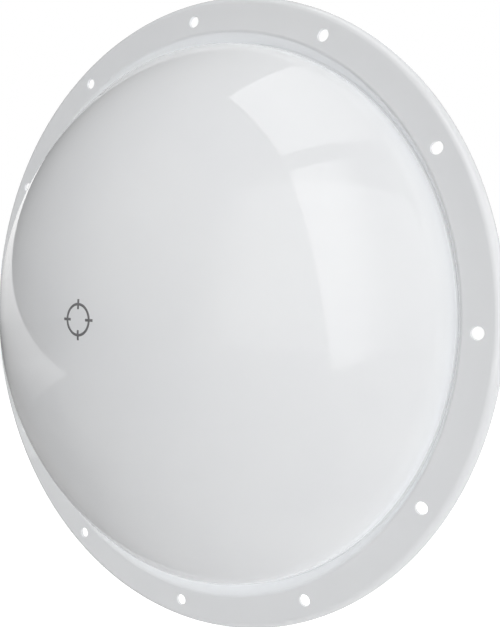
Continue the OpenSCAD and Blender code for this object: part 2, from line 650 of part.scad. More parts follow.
module port_bay() color("#d5d7d8") difference() {
    translate([-bay_w / 2, radio_y + bay_inset, bay_bottom])
        cube([bay_w, radio_depth - 2 * bay_inset, radio_bottom - bay_bottom]);
    translate([-port_w / 2, radio_y + 9, bay_bottom - past]) cube([port_w, port_d, port_h + past]);
    translate([button_x, radio_mid_y, bay_bottom - past]) cylinder(d = button_d + 0.6, h = 12);
}
module ethernet_jack() color("#bfc2c4") difference() {
    translate([port_slip - port_w / 2, radio_y + 9 + port_slip, bay_bottom - 0.5])
        cube([port_w - 2 * port_slip, port_d - 2 * port_slip, port_h + 0.4]);
    translate([-plug_way_w / 2, radio_y + 11, bay_bottom - past]) cube([plug_way_w, plug_way_d, port_h - 2]);
    translate([-latch_way_w / 2, radio_y + 18, bay_bottom - past]) cube([latch_way_w, 4, port_h - 2]);
}
module reset_button() color("#3a3c3e") translate([button_x, radio_mid_y, bay_bottom - button_proud])
    cylinder(d = button_d, h = button_l);
module port_cover() color("#eceded") difference() {
    translate([0, radio_mid_y, cover_bottom]) linear_extrude(radio_bottom - cover_gap - cover_bottom)
        polygon(rounded(radio_w, radio_depth, cover_r));
    translate([0, radio_mid_y, cover_bottom + cover_wall]) linear_extrude(radio_bottom - cover_bottom)
        polygon(rounded(radio_w - 2 * cover_wall, radio_depth - 2 * cover_wall, cover_r - 2));
    translate([0, radio_mid_y, cover_bottom - past]) cylinder(d = gland_d + 0.2, h = cover_wall + 2 * past);
}
// The gland's section, as [radius, height above the cover's underside]: dome nut, collar, neck and inner nut.
module cable_gland() color("#2b2c2e") translate([0, radio_mid_y, cover_bottom]) rotate_extrude() polygon([
    [gland_bore_d / 2, -8], [6, -8], [7.5, -2], [gland_collar_r, -2], [gland_collar_r, 0], [gland_d / 2, 0],
    [gland_d / 2, cover_wall], [gland_nut_r, cover_wall], [gland_nut_r, cover_wall + gland_nut_h],
    [gland_bore_d / 2, cover_wall + gland_nut_h]]);
module ground_lug() color("#b08d45") difference() {
    translate([ground_x - ground_w / 2, bracket_y + bracket_t, ground_z - ground_w / 2])
        cube([ground_w, ground_t, ground_w]);
    along_y(ground_x, bracket_y, ground_z) cylinder(d = m4 + 0.3, h = 8);
    translate([ground_x - 10, bracket_y + bracket_t - past, ground_z + ground_w / 2]) rotate([0, 45, 0])
        cube([3, 4, 3]);
}
module ground_screw() color("#b9bcbf") along_y(ground_x, bracket_y + bracket_t + ground_t, ground_z)
    pan_screw(m4, bracket_t + ground_t + 2);

// ---- yoke ----
function yoke_ear_outline() = concat(
    [[yoke_base_y + plate, yoke_half_z - 2 * yoke_chamfer], [yoke_base_y, yoke_half_z - yoke_chamfer]],
    arc(tilt_y, tilt_z, yoke_ear_r, 80, 180, 8), arc(tilt_y, lock_at(0)[1], yoke_foot_r, 180, 280, 8),
    [[yoke_base_y, yoke_chamfer - yoke_half_z], [yoke_base_y + plate, 2 * yoke_chamfer - yoke_half_z]]);
module yoke_tab(z) translate([0, yoke_base_y + plate - eps, z]) difference() {
    linear_extrude(plate) polygon(concat([[-tab_half, 0], [tab_half, 0]],
        arc(tab_half - tab_corner_r, swivel_y - yoke_base_y - plate + tab_reach, tab_corner_r, 0, 90),
        arc(tab_corner_r - tab_half, swivel_y - yoke_base_y - plate + tab_reach, tab_corner_r, 90, 180)));
    translate([0, swivel_y - yoke_base_y - plate, -past]) {
        cylinder(d = swivel_d + turn_slip, h = plate + 2 * past);
        for (s = [-1, 1]) translate([s * swivel_lock_x, 0, 0])
            cylinder(d = lock_hole_d, h = plate + 2 * past);
    }
}
module azimuth_yoke() color("#9ea3a7") difference() {
    union() {
        translate([-yoke_x, yoke_base_y, -yoke_half_z]) cube([2 * yoke_x, plate, 2 * yoke_half_z]);
        for (x = [-yoke_x, yoke_x - plate]) side_plate(x, plate) polygon(yoke_ear_outline());
        yoke_tab(yoke_half_z - plate);
        yoke_tab(-yoke_half_z);
    }
    along_x(-yoke_x - past, tilt_y, tilt_z) cylinder(d = pivot_d + turn_slip, h = 2 * (yoke_x + past));
    along_x(-yoke_x - past, tilt_y, tilt_z - lock_r) cylinder(d = lock_hole_d, h = 2 * (yoke_x + past));
    along_y(0, yoke_base_y - past, 0) cylinder(d = yoke_window_d, h = plate + 2 * past);
}
// Fasteners through the ears: side is -1 or 1, and the head is outside.
module ear_bolt(side, z, d) along_x(side * (ear_x + washer_gap + washer_t(d)), tilt_y, z)
    rotate([0, side > 0 ? 0 : 180, 0])
        hex_bolt(d, ear_x + washer_t(d) - yoke_x + plate + head_h(d) + bolt_proud);
module ear_washer(side, z, d) along_x(side * (ear_x + washer_gap), tilt_y, z)
    rotate([0, side > 0 ? 0 : 180, 0]) flat_washer(d);
module ear_nut(side, z, d) along_x(side * (yoke_x - plate), tilt_y, z)
    rotate([0, side > 0 ? 180 : 0, 0]) hex_nut(d);
module tilt_pivot_bolts() color("#8f9396") for (s = [-1, 1]) ear_bolt(s, tilt_z, pivot_d);
module tilt_pivot_washers() color("#b9bcbf") for (s = [-1, 1]) ear_washer(s, tilt_z, pivot_d);
module tilt_pivot_nuts() color("#8f9396") for (s = [-1, 1]) ear_nut(s, tilt_z, pivot_d);
module tilt_lock_bolts() color("#8f9396") for (s = [-1, 1]) ear_bolt(s, tilt_z - lock_r, lock_d);
module tilt_lock_washers() color("#b9bcbf") for (s = [-1, 1]) ear_washer(s, tilt_z - lock_r, lock_d);
module tilt_lock_nuts() color("#8f9396") for (s = [-1, 1]) ear_nut(s, tilt_z - lock_r, lock_d);
module at_swivel_locks(z) for (s = [-1, 1]) translate([s * swivel_lock_x, swivel_y, z]) children();
module swivel_lock_bolts() color("#8f9396")
    at_swivel_locks(pole_tab_z + pole_plate + washer_gap + washer_t(lock_d))
        hex_bolt(lock_d, pole_plate + plate + washer_t(lock_d) + nut_h(lock_d) + 3.5);
module swivel_lock_washers() color("#b9bcbf") at_swivel_locks(pole_tab_z + pole_plate + washer_gap)
    flat_washer(lock_d);
module swivel_lock_nuts() color("#8f9396") at_swivel_locks(yoke_half_z - plate - nut_h(lock_d))
    hex_nut(lock_d);

// ---- pole bracket, the fixed part of the mount ----
module pole_tab(z, slots) difference() {
    translate([0, 0, z]) linear_extrude(pole_plate) polygon(concat(
        [[-tab_half, pole_base_y + eps]],
        arc(tab_corner_r - tab_half, swivel_y - tab_reach, tab_corner_r, 180, 270),
        arc(tab_half - tab_corner_r, swivel_y - tab_reach, tab_corner_r, 270, 360),
        [[tab_half, pole_base_y + eps]]));
    translate([0, swivel_y, z - past]) {
        cylinder(d = swivel_d + turn_slip, h = pole_plate + 2 * past);
        if (slots) for (side = [0, 180]) rotate(side) linear_extrude(pole_plate + 2 * past)
            polygon(curved_slot(swivel_lock_x, lock_d + loose, -swivel - slot_margin, swivel + slot_margin));
    }
}
module jaw_teeth(front) for (a = [-40 : 16 : 40]) rotate(a + (front ? -90 : 90))
    translate([pole_d / 2 - 1, -tooth_w / 2, -past]) cube([1 + tooth_h, tooth_w, saddle_h + 2 * past]);
module pole_bracket() color("#9ea3a7") difference() {
    union() {
        translate([0, pole_base_y + pole_plate, 0]) rotate([90, 0, 0]) linear_extrude(pole_plate)
            polygon(rounded(2 * pole_base_x, 2 * pole_base_z, 8));
        pole_tab(pole_tab_z, true);
        pole_tab(-pole_tab_z - pole_plate, false);
        for (z = [jaw_z, -jaw_z]) translate([-saddle_x, pole_base_y + pole_plate - eps, z - saddle_h / 2])
            cube([2 * saddle_x, saddle_y - pole_base_y - pole_plate, saddle_h]);
    }
    translate([0, pole_y, -pole_base_z - past]) cylinder(d = pole_d, h = 2 * (pole_base_z + past));
    for (z = [jaw_z, -jaw_z]) {
        translate([0, pole_y, z - saddle_h / 2]) jaw_teeth(true);
        for (s = [-1, 1]) along_y(s * clamp_bolt_x, pole_base_y - past, z)
            cylinder(d = clamp_bolt_d + loose, h = pole_plate + 2 * past);
    }
    for (s = [-1, 1]) along_y(s * pole_base_hole_x, pole_base_y - past, 0)
        cylinder(d = pole_base_hole_d, h = pole_plate + 2 * past);
}
module swivel_bolt() color("#8f9396") translate([0, swivel_y, pole_tab_z + pole_plate + swivel_washer_t])
    hex_bolt(swivel_d, 2 * (pole_tab_z + pole_plate + swivel_washer_t) + swivel_proud);
module swivel_washers() color("#b9bcbf")
    for (z = [pole_tab_z + pole_plate, -pole_tab_z - pole_plate - swivel_washer_t])
        translate([0, swivel_y, z]) washer(swivel_d + 0.5, washer_d(swivel_d), swivel_washer_t);
module swivel_nut() color("#8f9396")
    translate([0, swivel_y, -pole_tab_z - pole_plate - swivel_washer_t - nut_h(swivel_d)]) hex_nut(swivel_d);
module swivel_spacer() color("#b5b8ba") translate([0, swivel_y, -yoke_half_z + plate + spacer_gap])
    washer(swivel_d + clear, 20, 2 * (yoke_half_z - plate - spacer_gap));
module clamp_bolts() color("#8f9396") for (s = [-1, 1], z = [jaw_z, -jaw_z])
    along_y(s * clamp_bolt_x, pole_base_y, z) {
        translate([0, 0, -carriage_h]) difference() {
            cylinder(d = carriage_d, h = carriage_h);
            translate([0, 0, -1]) rotate_extrude() translate([7, 0]) polygon([[0, 0], [4, 0], [4, 3.4]]);
        }
        translate([0, 0, -eps]) cylinder(d = clamp_bolt_d, h = clamp_bolt_end - pole_base_y);
    }
module clamp_jaw(z) color("#9ea3a7") difference() {
    translate([0, 0, z - saddle_h / 2]) linear_extrude(saddle_h) polygon([
        [-jaw_x, jaw_y], [jaw_x, jaw_y], [jaw_x, jaw_y + jaw_shelf], [jaw_crown_x, jaw_y + jaw_t + 6],
        [-jaw_crown_x, jaw_y + jaw_t + 6], [-jaw_x, jaw_y + jaw_shelf]]);
    translate([0, pole_y, z - saddle_h]) cylinder(d = pole_d, h = 2 * saddle_h);
    translate([0, pole_y, z - saddle_h / 2]) jaw_teeth(false);
    for (s = [-1, 1]) along_y(s * clamp_bolt_x, jaw_y - past, z) cylinder(d = clamp_bolt_d + loose, h = 60);
    for (s = [-1, 1]) along_y(s * clamp_bolt_x, jaw_y + jaw_shelf, z) cylinder(d = nut_seat_d, h = 60);
}
module clamp_jaw_upper() clamp_jaw(jaw_z);
module clamp_jaw_lower() clamp_jaw(-jaw_z);
module jaw_nuts(z) color("#8f9396") for (s = [-1, 1]) along_y(s * clamp_bolt_x, jaw_y + jaw_shelf, z) {
    flat_washer(clamp_bolt_d);
    translate([0, 0, washer_t(clamp_bolt_d)]) hex_nut(clamp_bolt_d);
}
module jaw_nuts_upper() jaw_nuts(jaw_z);
module jaw_nuts_lower() jaw_nuts(-jaw_z);

radome_shell();
radome_inserts();
reflector();
rim_seal();
radome_washers();
radome_screws();
front_clamp_ring();
hub_plate();
hub_bolts();
feed_tube();
feed_choke_ring();
feed_dielectric();
subreflector();
subreflector_screw();
feed_screws();
feed_o_ring();
omt_body();
omt_screws();
omt_jacks();
jumper_cables();
jumper_plugs();
tilt_bracket();
tilt_bracket_bolts();
tilt_bracket_washers();
radio_bracket();
radio_mount_screws();
radio_housing();
radio_gasket();
radio_rear_cover();
radio_cover_screws();
radio_board();
radio_rf_jacks();
port_bay();
ethernet_jack();
status_leds();
ground_lug();
ground_screw();
port_cover();
cable_gland();
reset_button();
azimuth_yoke();
tilt_pivot_bolts();
tilt_pivot_washers();
tilt_pivot_nuts();
tilt_lock_bolts();
tilt_lock_washers();
tilt_lock_nuts();
swivel_lock_bolts();
swivel_lock_washers();
swivel_lock_nuts();
pole_bracket();
swivel_bolt();
swivel_nut();
swivel_washers();
swivel_spacer();
clamp_bolts();
clamp_jaw_upper();
jaw_nuts_upper();
clamp_jaw_lower();
jaw_nuts_lower();
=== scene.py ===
"""A radome-covered dish antenna on its pole mount: the looks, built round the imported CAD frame.

Metres. The antenna looks along -Y, +X is to the right of somebody who faces it, and +Z is up.
"""
import json
import math

import bmesh
import bpy
from mathutils import Matrix, Vector


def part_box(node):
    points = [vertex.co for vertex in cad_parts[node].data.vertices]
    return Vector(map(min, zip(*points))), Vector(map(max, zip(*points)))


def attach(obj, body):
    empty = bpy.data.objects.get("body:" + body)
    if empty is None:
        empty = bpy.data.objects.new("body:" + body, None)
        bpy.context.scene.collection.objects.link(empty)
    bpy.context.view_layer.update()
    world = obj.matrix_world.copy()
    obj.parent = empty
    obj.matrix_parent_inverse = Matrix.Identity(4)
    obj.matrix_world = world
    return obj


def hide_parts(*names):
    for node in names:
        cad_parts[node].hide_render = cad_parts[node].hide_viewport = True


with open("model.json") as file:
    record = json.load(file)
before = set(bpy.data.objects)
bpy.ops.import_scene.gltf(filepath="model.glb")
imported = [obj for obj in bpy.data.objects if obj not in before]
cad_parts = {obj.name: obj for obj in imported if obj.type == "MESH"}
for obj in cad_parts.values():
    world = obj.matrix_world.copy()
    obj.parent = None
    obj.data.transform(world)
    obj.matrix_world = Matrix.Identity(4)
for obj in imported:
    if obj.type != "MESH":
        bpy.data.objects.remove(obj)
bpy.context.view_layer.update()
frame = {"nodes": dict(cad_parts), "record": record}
nodes = frame["nodes"]
slot_of = {part["node"]: part["material_slot"] for part in frame["record"]["subparts"]}
body_of = {node: body for body, members in frame["record"]["behaviour"]["bodies"].items() for node in members}

MM = 0.001
TURN = 2 * math.pi

# Radome, in metres; r is measured from the boresight and forward is -Y from the flange's front face.
radome_lo, radome_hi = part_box("radome_shell")
RIM_R = radome_hi.x
DOME_H = -radome_lo.y
CROWN_R = 342.5 * MM
KNUCKLE_R = 58 * MM
DOME_BASE_R = 282 * MM
STEP_R = 289.4 * MM
STEP_CORNER_R = 3.5 * MM
STEP_DRAFT = 5.1 * MM
RIM_CORNER_R = 7.5 * MM
LIP_DEPTH = 10 * MM
SHEET = 3 * MM
HOLES = 12
HOLE_R = 5.5 * MM
HOLE_CIRCLE_R = 305 * MM
HOLE_CHAMFER = 0.5 * MM
BOSS_CIRCLE_R = 283 * MM
BOSS_R = 4 * MM
BOSS_BORE_R = 2.75 * MM
BOSS_BORE_DEPTH = 4.9 * MM
BOSS_PHASE = 180 / HOLES

# Reflector
FOCAL = 190 * MM
APERTURE_R = 274 * MM
FLAT_R = 75 * MM
SPUN = 1.6 * MM
RIM_FOLD = 6 * MM
FOLD_R = 2.2 * MM
RIM_HOLE_R = 4.8 * MM
CENTRE_HOLE_R = 39 * MM
HUB_BOLTS = 6
HUB_CIRCLE_R = 56 * MM
HUB_HOLE_R = 3.3 * MM


# ---- shaders: object coordinates are metres in the part's own frame, so every scale is per metre ----
class Shader:
    """A Principled material and the few node recipes that the materials below share."""

    def __init__(self, name, colour, roughness, metallic=0.0, **sockets):
        self.material = bpy.data.materials.new(name)
        self.material.use_nodes = True
        self.tree = self.material.node_tree
        self.bsdf = self.tree.nodes["Principled BSDF"]
        self.set("Base Color", (*colour, 1.0))
        self.set("Roughness", roughness)
        self.set("Metallic", metallic)
        for socket, value in sockets.items():
            self.set(socket.replace("_", " "), value)
        self.coords = self.tree.nodes.new("ShaderNodeTexCoord").outputs["Object"]
        self.normal = None

    def set(self, socket, value):
        self.bsdf.inputs[socket].default_value = value

    def feed(self, socket, output):
        self.tree.links.new(output, self.bsdf.inputs[socket])

    def add(self, kind, inputs=(), **settings):
        """A node of that kind, with its settings made and its inputs set or linked; returns the node."""
        node = self.tree.nodes.new("ShaderNode" + kind)
        for key, value in settings.items():
            setattr(node, key, value)
        for key, value in dict(inputs).items():
            if isinstance(value, bpy.types.NodeSocket):
                self.tree.links.new(value, node.inputs[key])
            else:
                node.inputs[key].default_value = value
        return node

    def noise(self, scale, detail=2.0):
        return self.add("TexNoise", {"Vector": self.coords, "Scale": scale, "Detail": detail}).outputs["Fac"]

    def math(self, operation, a, b=0.0):
        return self.add("Math", {0: a, 1: b}, operation=operation).outputs[0]

    def ramp(self, value, low, high, to_low=0.0, to_high=1.0):
        """value, mapped from low..high to to_low..to_high and clamped."""
        ranged = {"Value": value, "From Min": low, "From Max": high, "To Min": to_low, "To Max": to_high}
        return self.add("MapRange", ranged).outputs[0]

    def mix(self, factor, a, b):
        """Between two colours, each a triple or an output."""
        node = self.add("Mix", {0: factor}, data_type="RGBA")
        for key, value in ((6, a), (7, b)):
            if isinstance(value, bpy.types.NodeSocket):
                self.tree.links.new(value, node.inputs[key])
            else:
                node.inputs[key].default_value = (*value, 1.0)
        return node.outputs[2]

    def bump(self, height, depth):
        """Adds relief of that depth in metres to what is there already."""
        inputs = {"Height": height, "Distance": depth, "Strength": 1.0}
        if self.normal:
            inputs["Normal"] = self.normal
        self.normal = self.add("Bump", inputs).outputs[0]
        self.feed("Normal", self.normal)

    def radius(self):
        """Distance from the boresight."""
        flat = self.add("Mapping", {"Vector": self.coords, "Scale": (1, 0, 1)}).outputs[0]
        return self.add("VectorMath", {0: flat}, operation="LENGTH").outputs["Value"]

    def rings(self, pitch):
        """A wave round the boresight, as a turning tool leaves it."""
        return self.math("SINE", self.math("MULTIPLY", self.radius(), TURN / pitch))


def radome_white():
    shader = Shader("radome_white", (0.80, 0.81, 0.82), 0.04, IOR=1.5)
    white = shader.mix(shader.ramp(shader.noise(9, 3), 0.3, 0.7), (0.775, 0.785, 0.80), (0.80, 0.81, 0.82))
    # Painted shade: the base colour darkens in the groove between dome and flange, standing in for the shade
    # that the light which casts no shadow leaves out.
    radius = shader.radius()
    painted_groove_shade = shader.math("MULTIPLY", shader.ramp(radius, DOME_BASE_R - 0.5 * MM, DOME_BASE_R + 2 * MM),
                         shader.ramp(radius, STEP_R + 3.6 * MM, STEP_R + 0.1 * MM))
    # The painted shade colour, mixed over the white across the groove.
    shader.feed("Base Color", shader.mix(painted_groove_shade, white, (0.69, 0.70, 0.71)))
    shader.feed("Roughness", shader.ramp(shader.noise(38, 4), 0.3, 0.7, 0.025, 0.05))
    shader.bump(shader.noise(230, 2), 0.012 * MM)
    return shader


def dish_paint():
    shader = Shader("dish_paint", (0.72, 0.73, 0.74), 0.42, IOR=1.5)
    tone = shader.ramp(shader.noise(14, 4), 0.3, 0.7)
    shader.feed("Base Color", shader.mix(tone, (0.69, 0.70, 0.71), (0.735, 0.745, 0.755)))
    shader.feed("Roughness", shader.ramp(shader.noise(60, 3), 0.3, 0.7, 0.36, 0.48))
    shader.bump(shader.rings(3.2 * MM), 0.01 * MM)
    shader.bump(shader.noise(900, 2), 0.03 * MM)
    return shader


def metal(name, colour, roughness, grain, depth):
    """A metal whose roughness runs over a range and whose surface has a fine grain."""
    shader = Shader(name, colour, roughness[0], 1.0)
    tone = shader.ramp(shader.noise(70, 4), 0.3, 0.7)
    darker = tuple(0.9 * c for c in colour)
    shader.feed("Base Color", shader.mix(tone, darker, colour))
    shader.feed("Roughness", shader.ramp(shader.noise(160, 4), 0.3, 0.7, *roughness))
    shader.bump(shader.noise(grain, 2), depth)
    return shader


def cast_alu():
    shader = metal("cast_alu", (0.62, 0.63, 0.64), (0.46, 0.62), 1500, 0.06 * MM)
    shader.bump(shader.noise(220, 3), 0.08 * MM)
    return shader


def turned_alu():
    shader = metal("turned_alu", (0.72, 0.73, 0.74), (0.2, 0.32), 300, 0.01 * MM)
    shader.bump(shader.rings(0.5 * MM), 0.006 * MM)
    return shader


def galvanised():
    """Zinc spangle: flat crystals a few millimetres across, each of its own tone and gloss."""
    shader = Shader("galvanised", (0.58, 0.59, 0.60), 0.4, 0.85)
    warped = shader.add("TexNoise", {"Vector": shader.coords, "Scale": 180.0}).outputs["Color"]
    bent = shader.add("VectorMath", {0: warped, 1: (0.003, 0.003, 0.003)}, operation="MULTIPLY").outputs[0]
    place = shader.add("VectorMath", {0: shader.coords, 1: bent}, operation="ADD").outputs[0]
    crystal = shader.add("TexVoronoi", {"Vector": place, "Scale": 150.0}).outputs["Color"]
    tone = shader.add("SeparateColor", {0: crystal})
    spangle = shader.mix(tone.outputs[0], (0.47, 0.48, 0.50), (0.63, 0.64, 0.65))
    bloom = shader.ramp(shader.noise(26, 5), 0.5, 0.72, 0, 0.55)
    shader.feed("Base Color", shader.mix(bloom, spangle, (0.62, 0.63, 0.64)))
    shader.feed("Roughness", shader.math("ADD", shader.ramp(tone.outputs[1], 0, 1, 0.3, 0.46),
                                         shader.math("MULTIPLY", bloom, 0.2)))
    shader.bump(shader.noise(420, 3), 0.03 * MM)
    return shader


def zinc_fastener():
    return metal("zinc_fastener", (0.62, 0.62, 0.61), (0.22, 0.38), 900, 0.008 * MM)


def brass():
    return metal("brass", (0.62, 0.45, 0.20), (0.24, 0.4), 700, 0.01 * MM)


def plastic(name, dark, light, roughness, grain, depth):
    """A moulding: two close tones in soft clouds, and a fine spark-eroded grain."""
    shader = Shader(name, light, roughness[0], IOR=1.5)
    shader.feed("Base Color", shader.mix(shader.ramp(shader.noise(24, 3), 0.3, 0.7), dark, light))
    shader.feed("Roughness", shader.ramp(shader.noise(90, 3), 0.3, 0.7, *roughness))
    shader.bump(shader.noise(grain, 3), depth)
    return shader


def black_rubber():
    return plastic("black_rubber", (0.022, 0.022, 0.024), (0.034, 0.034, 0.036), (0.68, 0.82), 800, 0.06 * MM)


def cable_black():
    return plastic("cable_black", (0.017, 0.017, 0.019), (0.024, 0.024, 0.026), (0.38, 0.5), 1200, 0.02 * MM)


def dark_plastic():
    dark, light = (0.034, 0.034, 0.038), (0.046, 0.046, 0.051)
    return plastic("dark_plastic", dark, light, (0.45, 0.58), 1600, 0.04 * MM)


def housing_white():
    return plastic("housing_white", (0.76, 0.77, 0.78), (0.79, 0.80, 0.81), (0.38, 0.48), 1800, 0.04 * MM)


def bay_grey():
    return plastic("bay_grey", (0.57, 0.58, 0.59), (0.61, 0.62, 0.63), (0.45, 0.55), 1800, 0.04 * MM)


def white_dielectric():
    shader = plastic("white_dielectric", (0.83, 0.82, 0.78), (0.87, 0.86, 0.82), (0.36, 0.46), 500, 0.01 * MM)
    shader.bump(shader.rings(0.8 * MM), 0.008 * MM)
    return shader


def board_green():
    """Solder mask over copper: a grid of tracks and pads shows as a lighter, slightly raised green."""
    shader = Shader("board_green", (0.03, 0.16, 0.07), 0.22, IOR=1.5)
    flat = shader.add("Mapping", {"Vector": shader.coords, "Rotation": (math.radians(90), 0, 0)}).outputs[0]
    black, white = (0, 0, 0, 1), (1, 1, 1, 1)
    tracks = shader.add("TexBrick", {"Vector": flat, "Scale": 150.0, "Mortar Size": 0.09, "Color1": black,
                                     "Color2": black, "Mortar": white}).outputs["Fac"]
    shader.feed("Base Color", shader.mix(tracks, (0.024, 0.13, 0.055), (0.045, 0.23, 0.09)))
    shader.bump(tracks, 0.03 * MM)
    return shader


def sight_grey():
    return plastic("sight_grey", (0.15, 0.15, 0.155), (0.17, 0.17, 0.175), (0.4, 0.5), 1600, 0.01 * MM)


def led_green():
    shader = Shader("led_green", (0.12, 0.55, 0.20), 0.12, IOR=1.49)
    shader.set("Transmission Weight", 0.35)
    shader.feed("Base Color", shader.mix(shader.noise(900, 2), (0.09, 0.48, 0.17), (0.14, 0.6, 0.23)))
    return shader


materials = {}


def build_materials():
    """Makes every material, and gives each CAD node the one that the record names for it."""
    builders = (radome_white, dish_paint, cast_alu, turned_alu, galvanised, zinc_fastener, brass,
                black_rubber, cable_black, dark_plastic, housing_white, bay_grey, white_dielectric,
                board_green, led_green, sight_grey)
    for build in builders:
        materials[build.__name__] = build().material
    for name, node in nodes.items():
        node.material_slots[0].material = materials[slot_of[name]]


# ---- objects and meshes ----
def linked(name, data):
    """A new object in the scene."""
    made = bpy.data.objects.new(name, data)
    bpy.context.scene.collection.objects.link(made)
    return made


def arc(cx, cy, radius, start, end, steps, skip=0):
    """Points on an arc, with its angles in degrees; skip=1 leaves out the first."""
    angles = [math.radians(start + (end - start) * i / steps) for i in range(skip, steps + 1)]
    return [(cx + radius * math.cos(a), cy + radius * math.sin(a)) for a in angles]


def turned(rings, segments=48, closed=False):
    """A bmesh turned about +Z from rings of (radius, height). Either may be a function of the angle."""
    bm = bmesh.new()
    rows = []
    for radius, height in rings:
        row = []
        for i in range(segments):
            a = TURN * i / segments
            r = radius(a) if callable(radius) else radius
            h = height(a) if callable(height) else height
            row.append(bm.verts.new((r * math.cos(a), r * math.sin(a), h)))
        rows.append(row)
    if closed:
        rows.append(rows[0])
    for low, high in zip(rows, rows[1:]):
        for i in range(segments):
            j = (i + 1) % segments
            bm.faces.new((low[i], low[j], high[j], high[i]))
    bmesh.ops.remove_doubles(bm, verts=bm.verts, dist=1e-6)
    bmesh.ops.dissolve_degenerate(bm, dist=1e-7, edges=bm.edges)
    bmesh.ops.recalc_face_normals(bm, faces=bm.faces)
    return bm


FORWARD = Matrix.Rotation(math.radians(90), 4, "X")  # turns +Z to -Y, the boresight


def smooth(piece, angle=30):
    """Smooth shading with sharp edges past that angle, and normals that leave flat faces flat."""
    piece.data.shade_smooth()
    piece.data.set_sharp_from_angle(angle=math.radians(angle))
    weighted = piece.modifiers.new("normals", "WEIGHTED_NORMAL")
    weighted.keep_sharp = True


def new_piece(name, bm, slot, body, *replaced):
    """An object from a bmesh in the part's frame, with its material, body and the CAD nodes it stands for."""
    mesh = bpy.data.meshes.new(name)
    bm.to_mesh(mesh)
    bm.free()
    piece = linked(name, mesh)
    mesh.materials.append(materials[slot])
    if replaced:
        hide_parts(*replaced)
    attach(piece, body)
    return piece


def combine(parts):
    """One bmesh from several (bmesh, matrix) pairs, which it frees."""
    whole = bmesh.new()
    for part, matrix in parts:
        bmesh.ops.transform(part, matrix=matrix, verts=part.verts)
        mesh = bpy.data.meshes.new("part")
        part.to_mesh(mesh)
        part.free()
        whole.from_mesh(mesh)
        bpy.data.meshes.remove(mesh)
    return whole


def carve(bm, tool):
    """bm with the tool cut out of it; frees both."""
    objects = []
    for source in (bm, tool):
        mesh = bpy.data.meshes.new("carve")
        source.to_mesh(mesh)
        source.free()
        objects.append(linked("carve", mesh))
    body, cutter = objects
    boolean = body.modifiers.new("carve", "BOOLEAN")
    boolean.operation = "DIFFERENCE"
    boolean.solver = "EXACT"
    boolean.object = cutter
    result = bmesh.new()
    result.from_object(body, bpy.context.evaluated_depsgraph_get())
    for carved in objects:
        mesh = carved.data
        bpy.data.objects.remove(carved)
        bpy.data.meshes.remove(mesh)
    return result


def ring_of(make, count, radius, phase=0.0):
    """What make gives, set count times round the +Z axis."""
    parts = []
    for i in range(count):
        turn = Matrix.Rotation(math.radians(phase + 360 * i / count), 4, "Z")
        parts.append((make(), turn @ Matrix.Translation((radius, 0, 0))))
    return combine(parts)


# ---- radome ----
CROWN_Z = DOME_H - CROWN_R
KNUCKLE_X = DOME_BASE_R - KNUCKLE_R
KNUCKLE_ANGLE = math.degrees(math.asin(KNUCKLE_X / (CROWN_R - KNUCKLE_R)))
KNUCKLE_Z = CROWN_Z + (CROWN_R - KNUCKLE_R) * math.cos(math.radians(KNUCKLE_ANGLE))
FLOOR_BACK = KNUCKLE_Z - SHEET
FLOOR_FILLET = 0.8 * MM  # where the groove's floor meets its outer wall
FLOOR_EDGE = 1.5 * MM
BOSS_END = -radome_hi.y


def radome_outline():
    """(r, forward) along the outer face from the apex to the lip, and back along the inner face."""
    crown_end = 90 - KNUCKLE_ANGLE
    step_x = STEP_R + STEP_CORNER_R
    rim_x = RIM_R - RIM_CORNER_R
    foot_r = STEP_R - STEP_DRAFT
    return (
        arc(0, CROWN_Z, CROWN_R, 90, crown_end, 40)
        + arc(KNUCKLE_X, KNUCKLE_Z, KNUCKLE_R, crown_end, 0, 18, 1)
        + [(foot_r - FLOOR_EDGE, KNUCKLE_Z)]
        + arc(foot_r - FLOOR_FILLET, KNUCKLE_Z + FLOOR_FILLET, FLOOR_FILLET, 270, 342, 6)
        + arc(step_x, -STEP_CORNER_R, STEP_CORNER_R, 162, 90, 8)
        + arc(rim_x, -RIM_CORNER_R, RIM_CORNER_R, 90, 0, 12)
        + arc(RIM_R - SHEET / 2, SHEET / 2 - LIP_DEPTH, SHEET / 2, 0, -180, 8)
        + arc(rim_x, -RIM_CORNER_R, RIM_CORNER_R - SHEET, 0, 90, 8)
        + arc(step_x, -STEP_CORNER_R, STEP_CORNER_R - SHEET, 90, 180, 3)
        + [(foot_r + SHEET, FLOOR_BACK), (DOME_BASE_R - SHEET, FLOOR_BACK)]
        + arc(KNUCKLE_X, KNUCKLE_Z, KNUCKLE_R - SHEET, 0, crown_end, 12)
        + arc(0, CROWN_Z, CROWN_R - SHEET, crown_end, 90, 24, 1)
    )


def flange_hole():
    """The cutter of one open hole, with a small chamfer at both faces."""
    edge = HOLE_R + HOLE_CHAMFER
    return turned([(0, 1 * MM), (edge + 1 * MM, 1 * MM), (edge, 0), (HOLE_R, -HOLE_CHAMFER),
                   (HOLE_R, HOLE_CHAMFER - SHEET), (edge, -SHEET), (edge + 1 * MM, -SHEET - 1 * MM),
                   (0, -SHEET - 1 * MM)], 40)


def boss():
    """One fixing boss behind the groove's floor, with the blind bore of its insert."""
    return turned([(BOSS_R, BOSS_END), (BOSS_R, FLOOR_BACK + SHEET / 2), (0, FLOOR_BACK + SHEET / 2),
                   (0, BOSS_END + BOSS_BORE_DEPTH), (BOSS_BORE_R, BOSS_END + BOSS_BORE_DEPTH),
                   (BOSS_BORE_R, BOSS_END)], 24, closed=True)


def build_radome():
    shell = turned(radome_outline(), 360)
    shell = carve(shell, ring_of(flange_hole, HOLES, HOLE_CIRCLE_R))
    shell = combine([(shell, FORWARD), (ring_of(boss, HOLES, BOSS_CIRCLE_R, BOSS_PHASE), FORWARD)])
    piece = new_piece("radome", shell, "radome_white", "radome", "radome_shell")
    smooth(piece)
    return piece


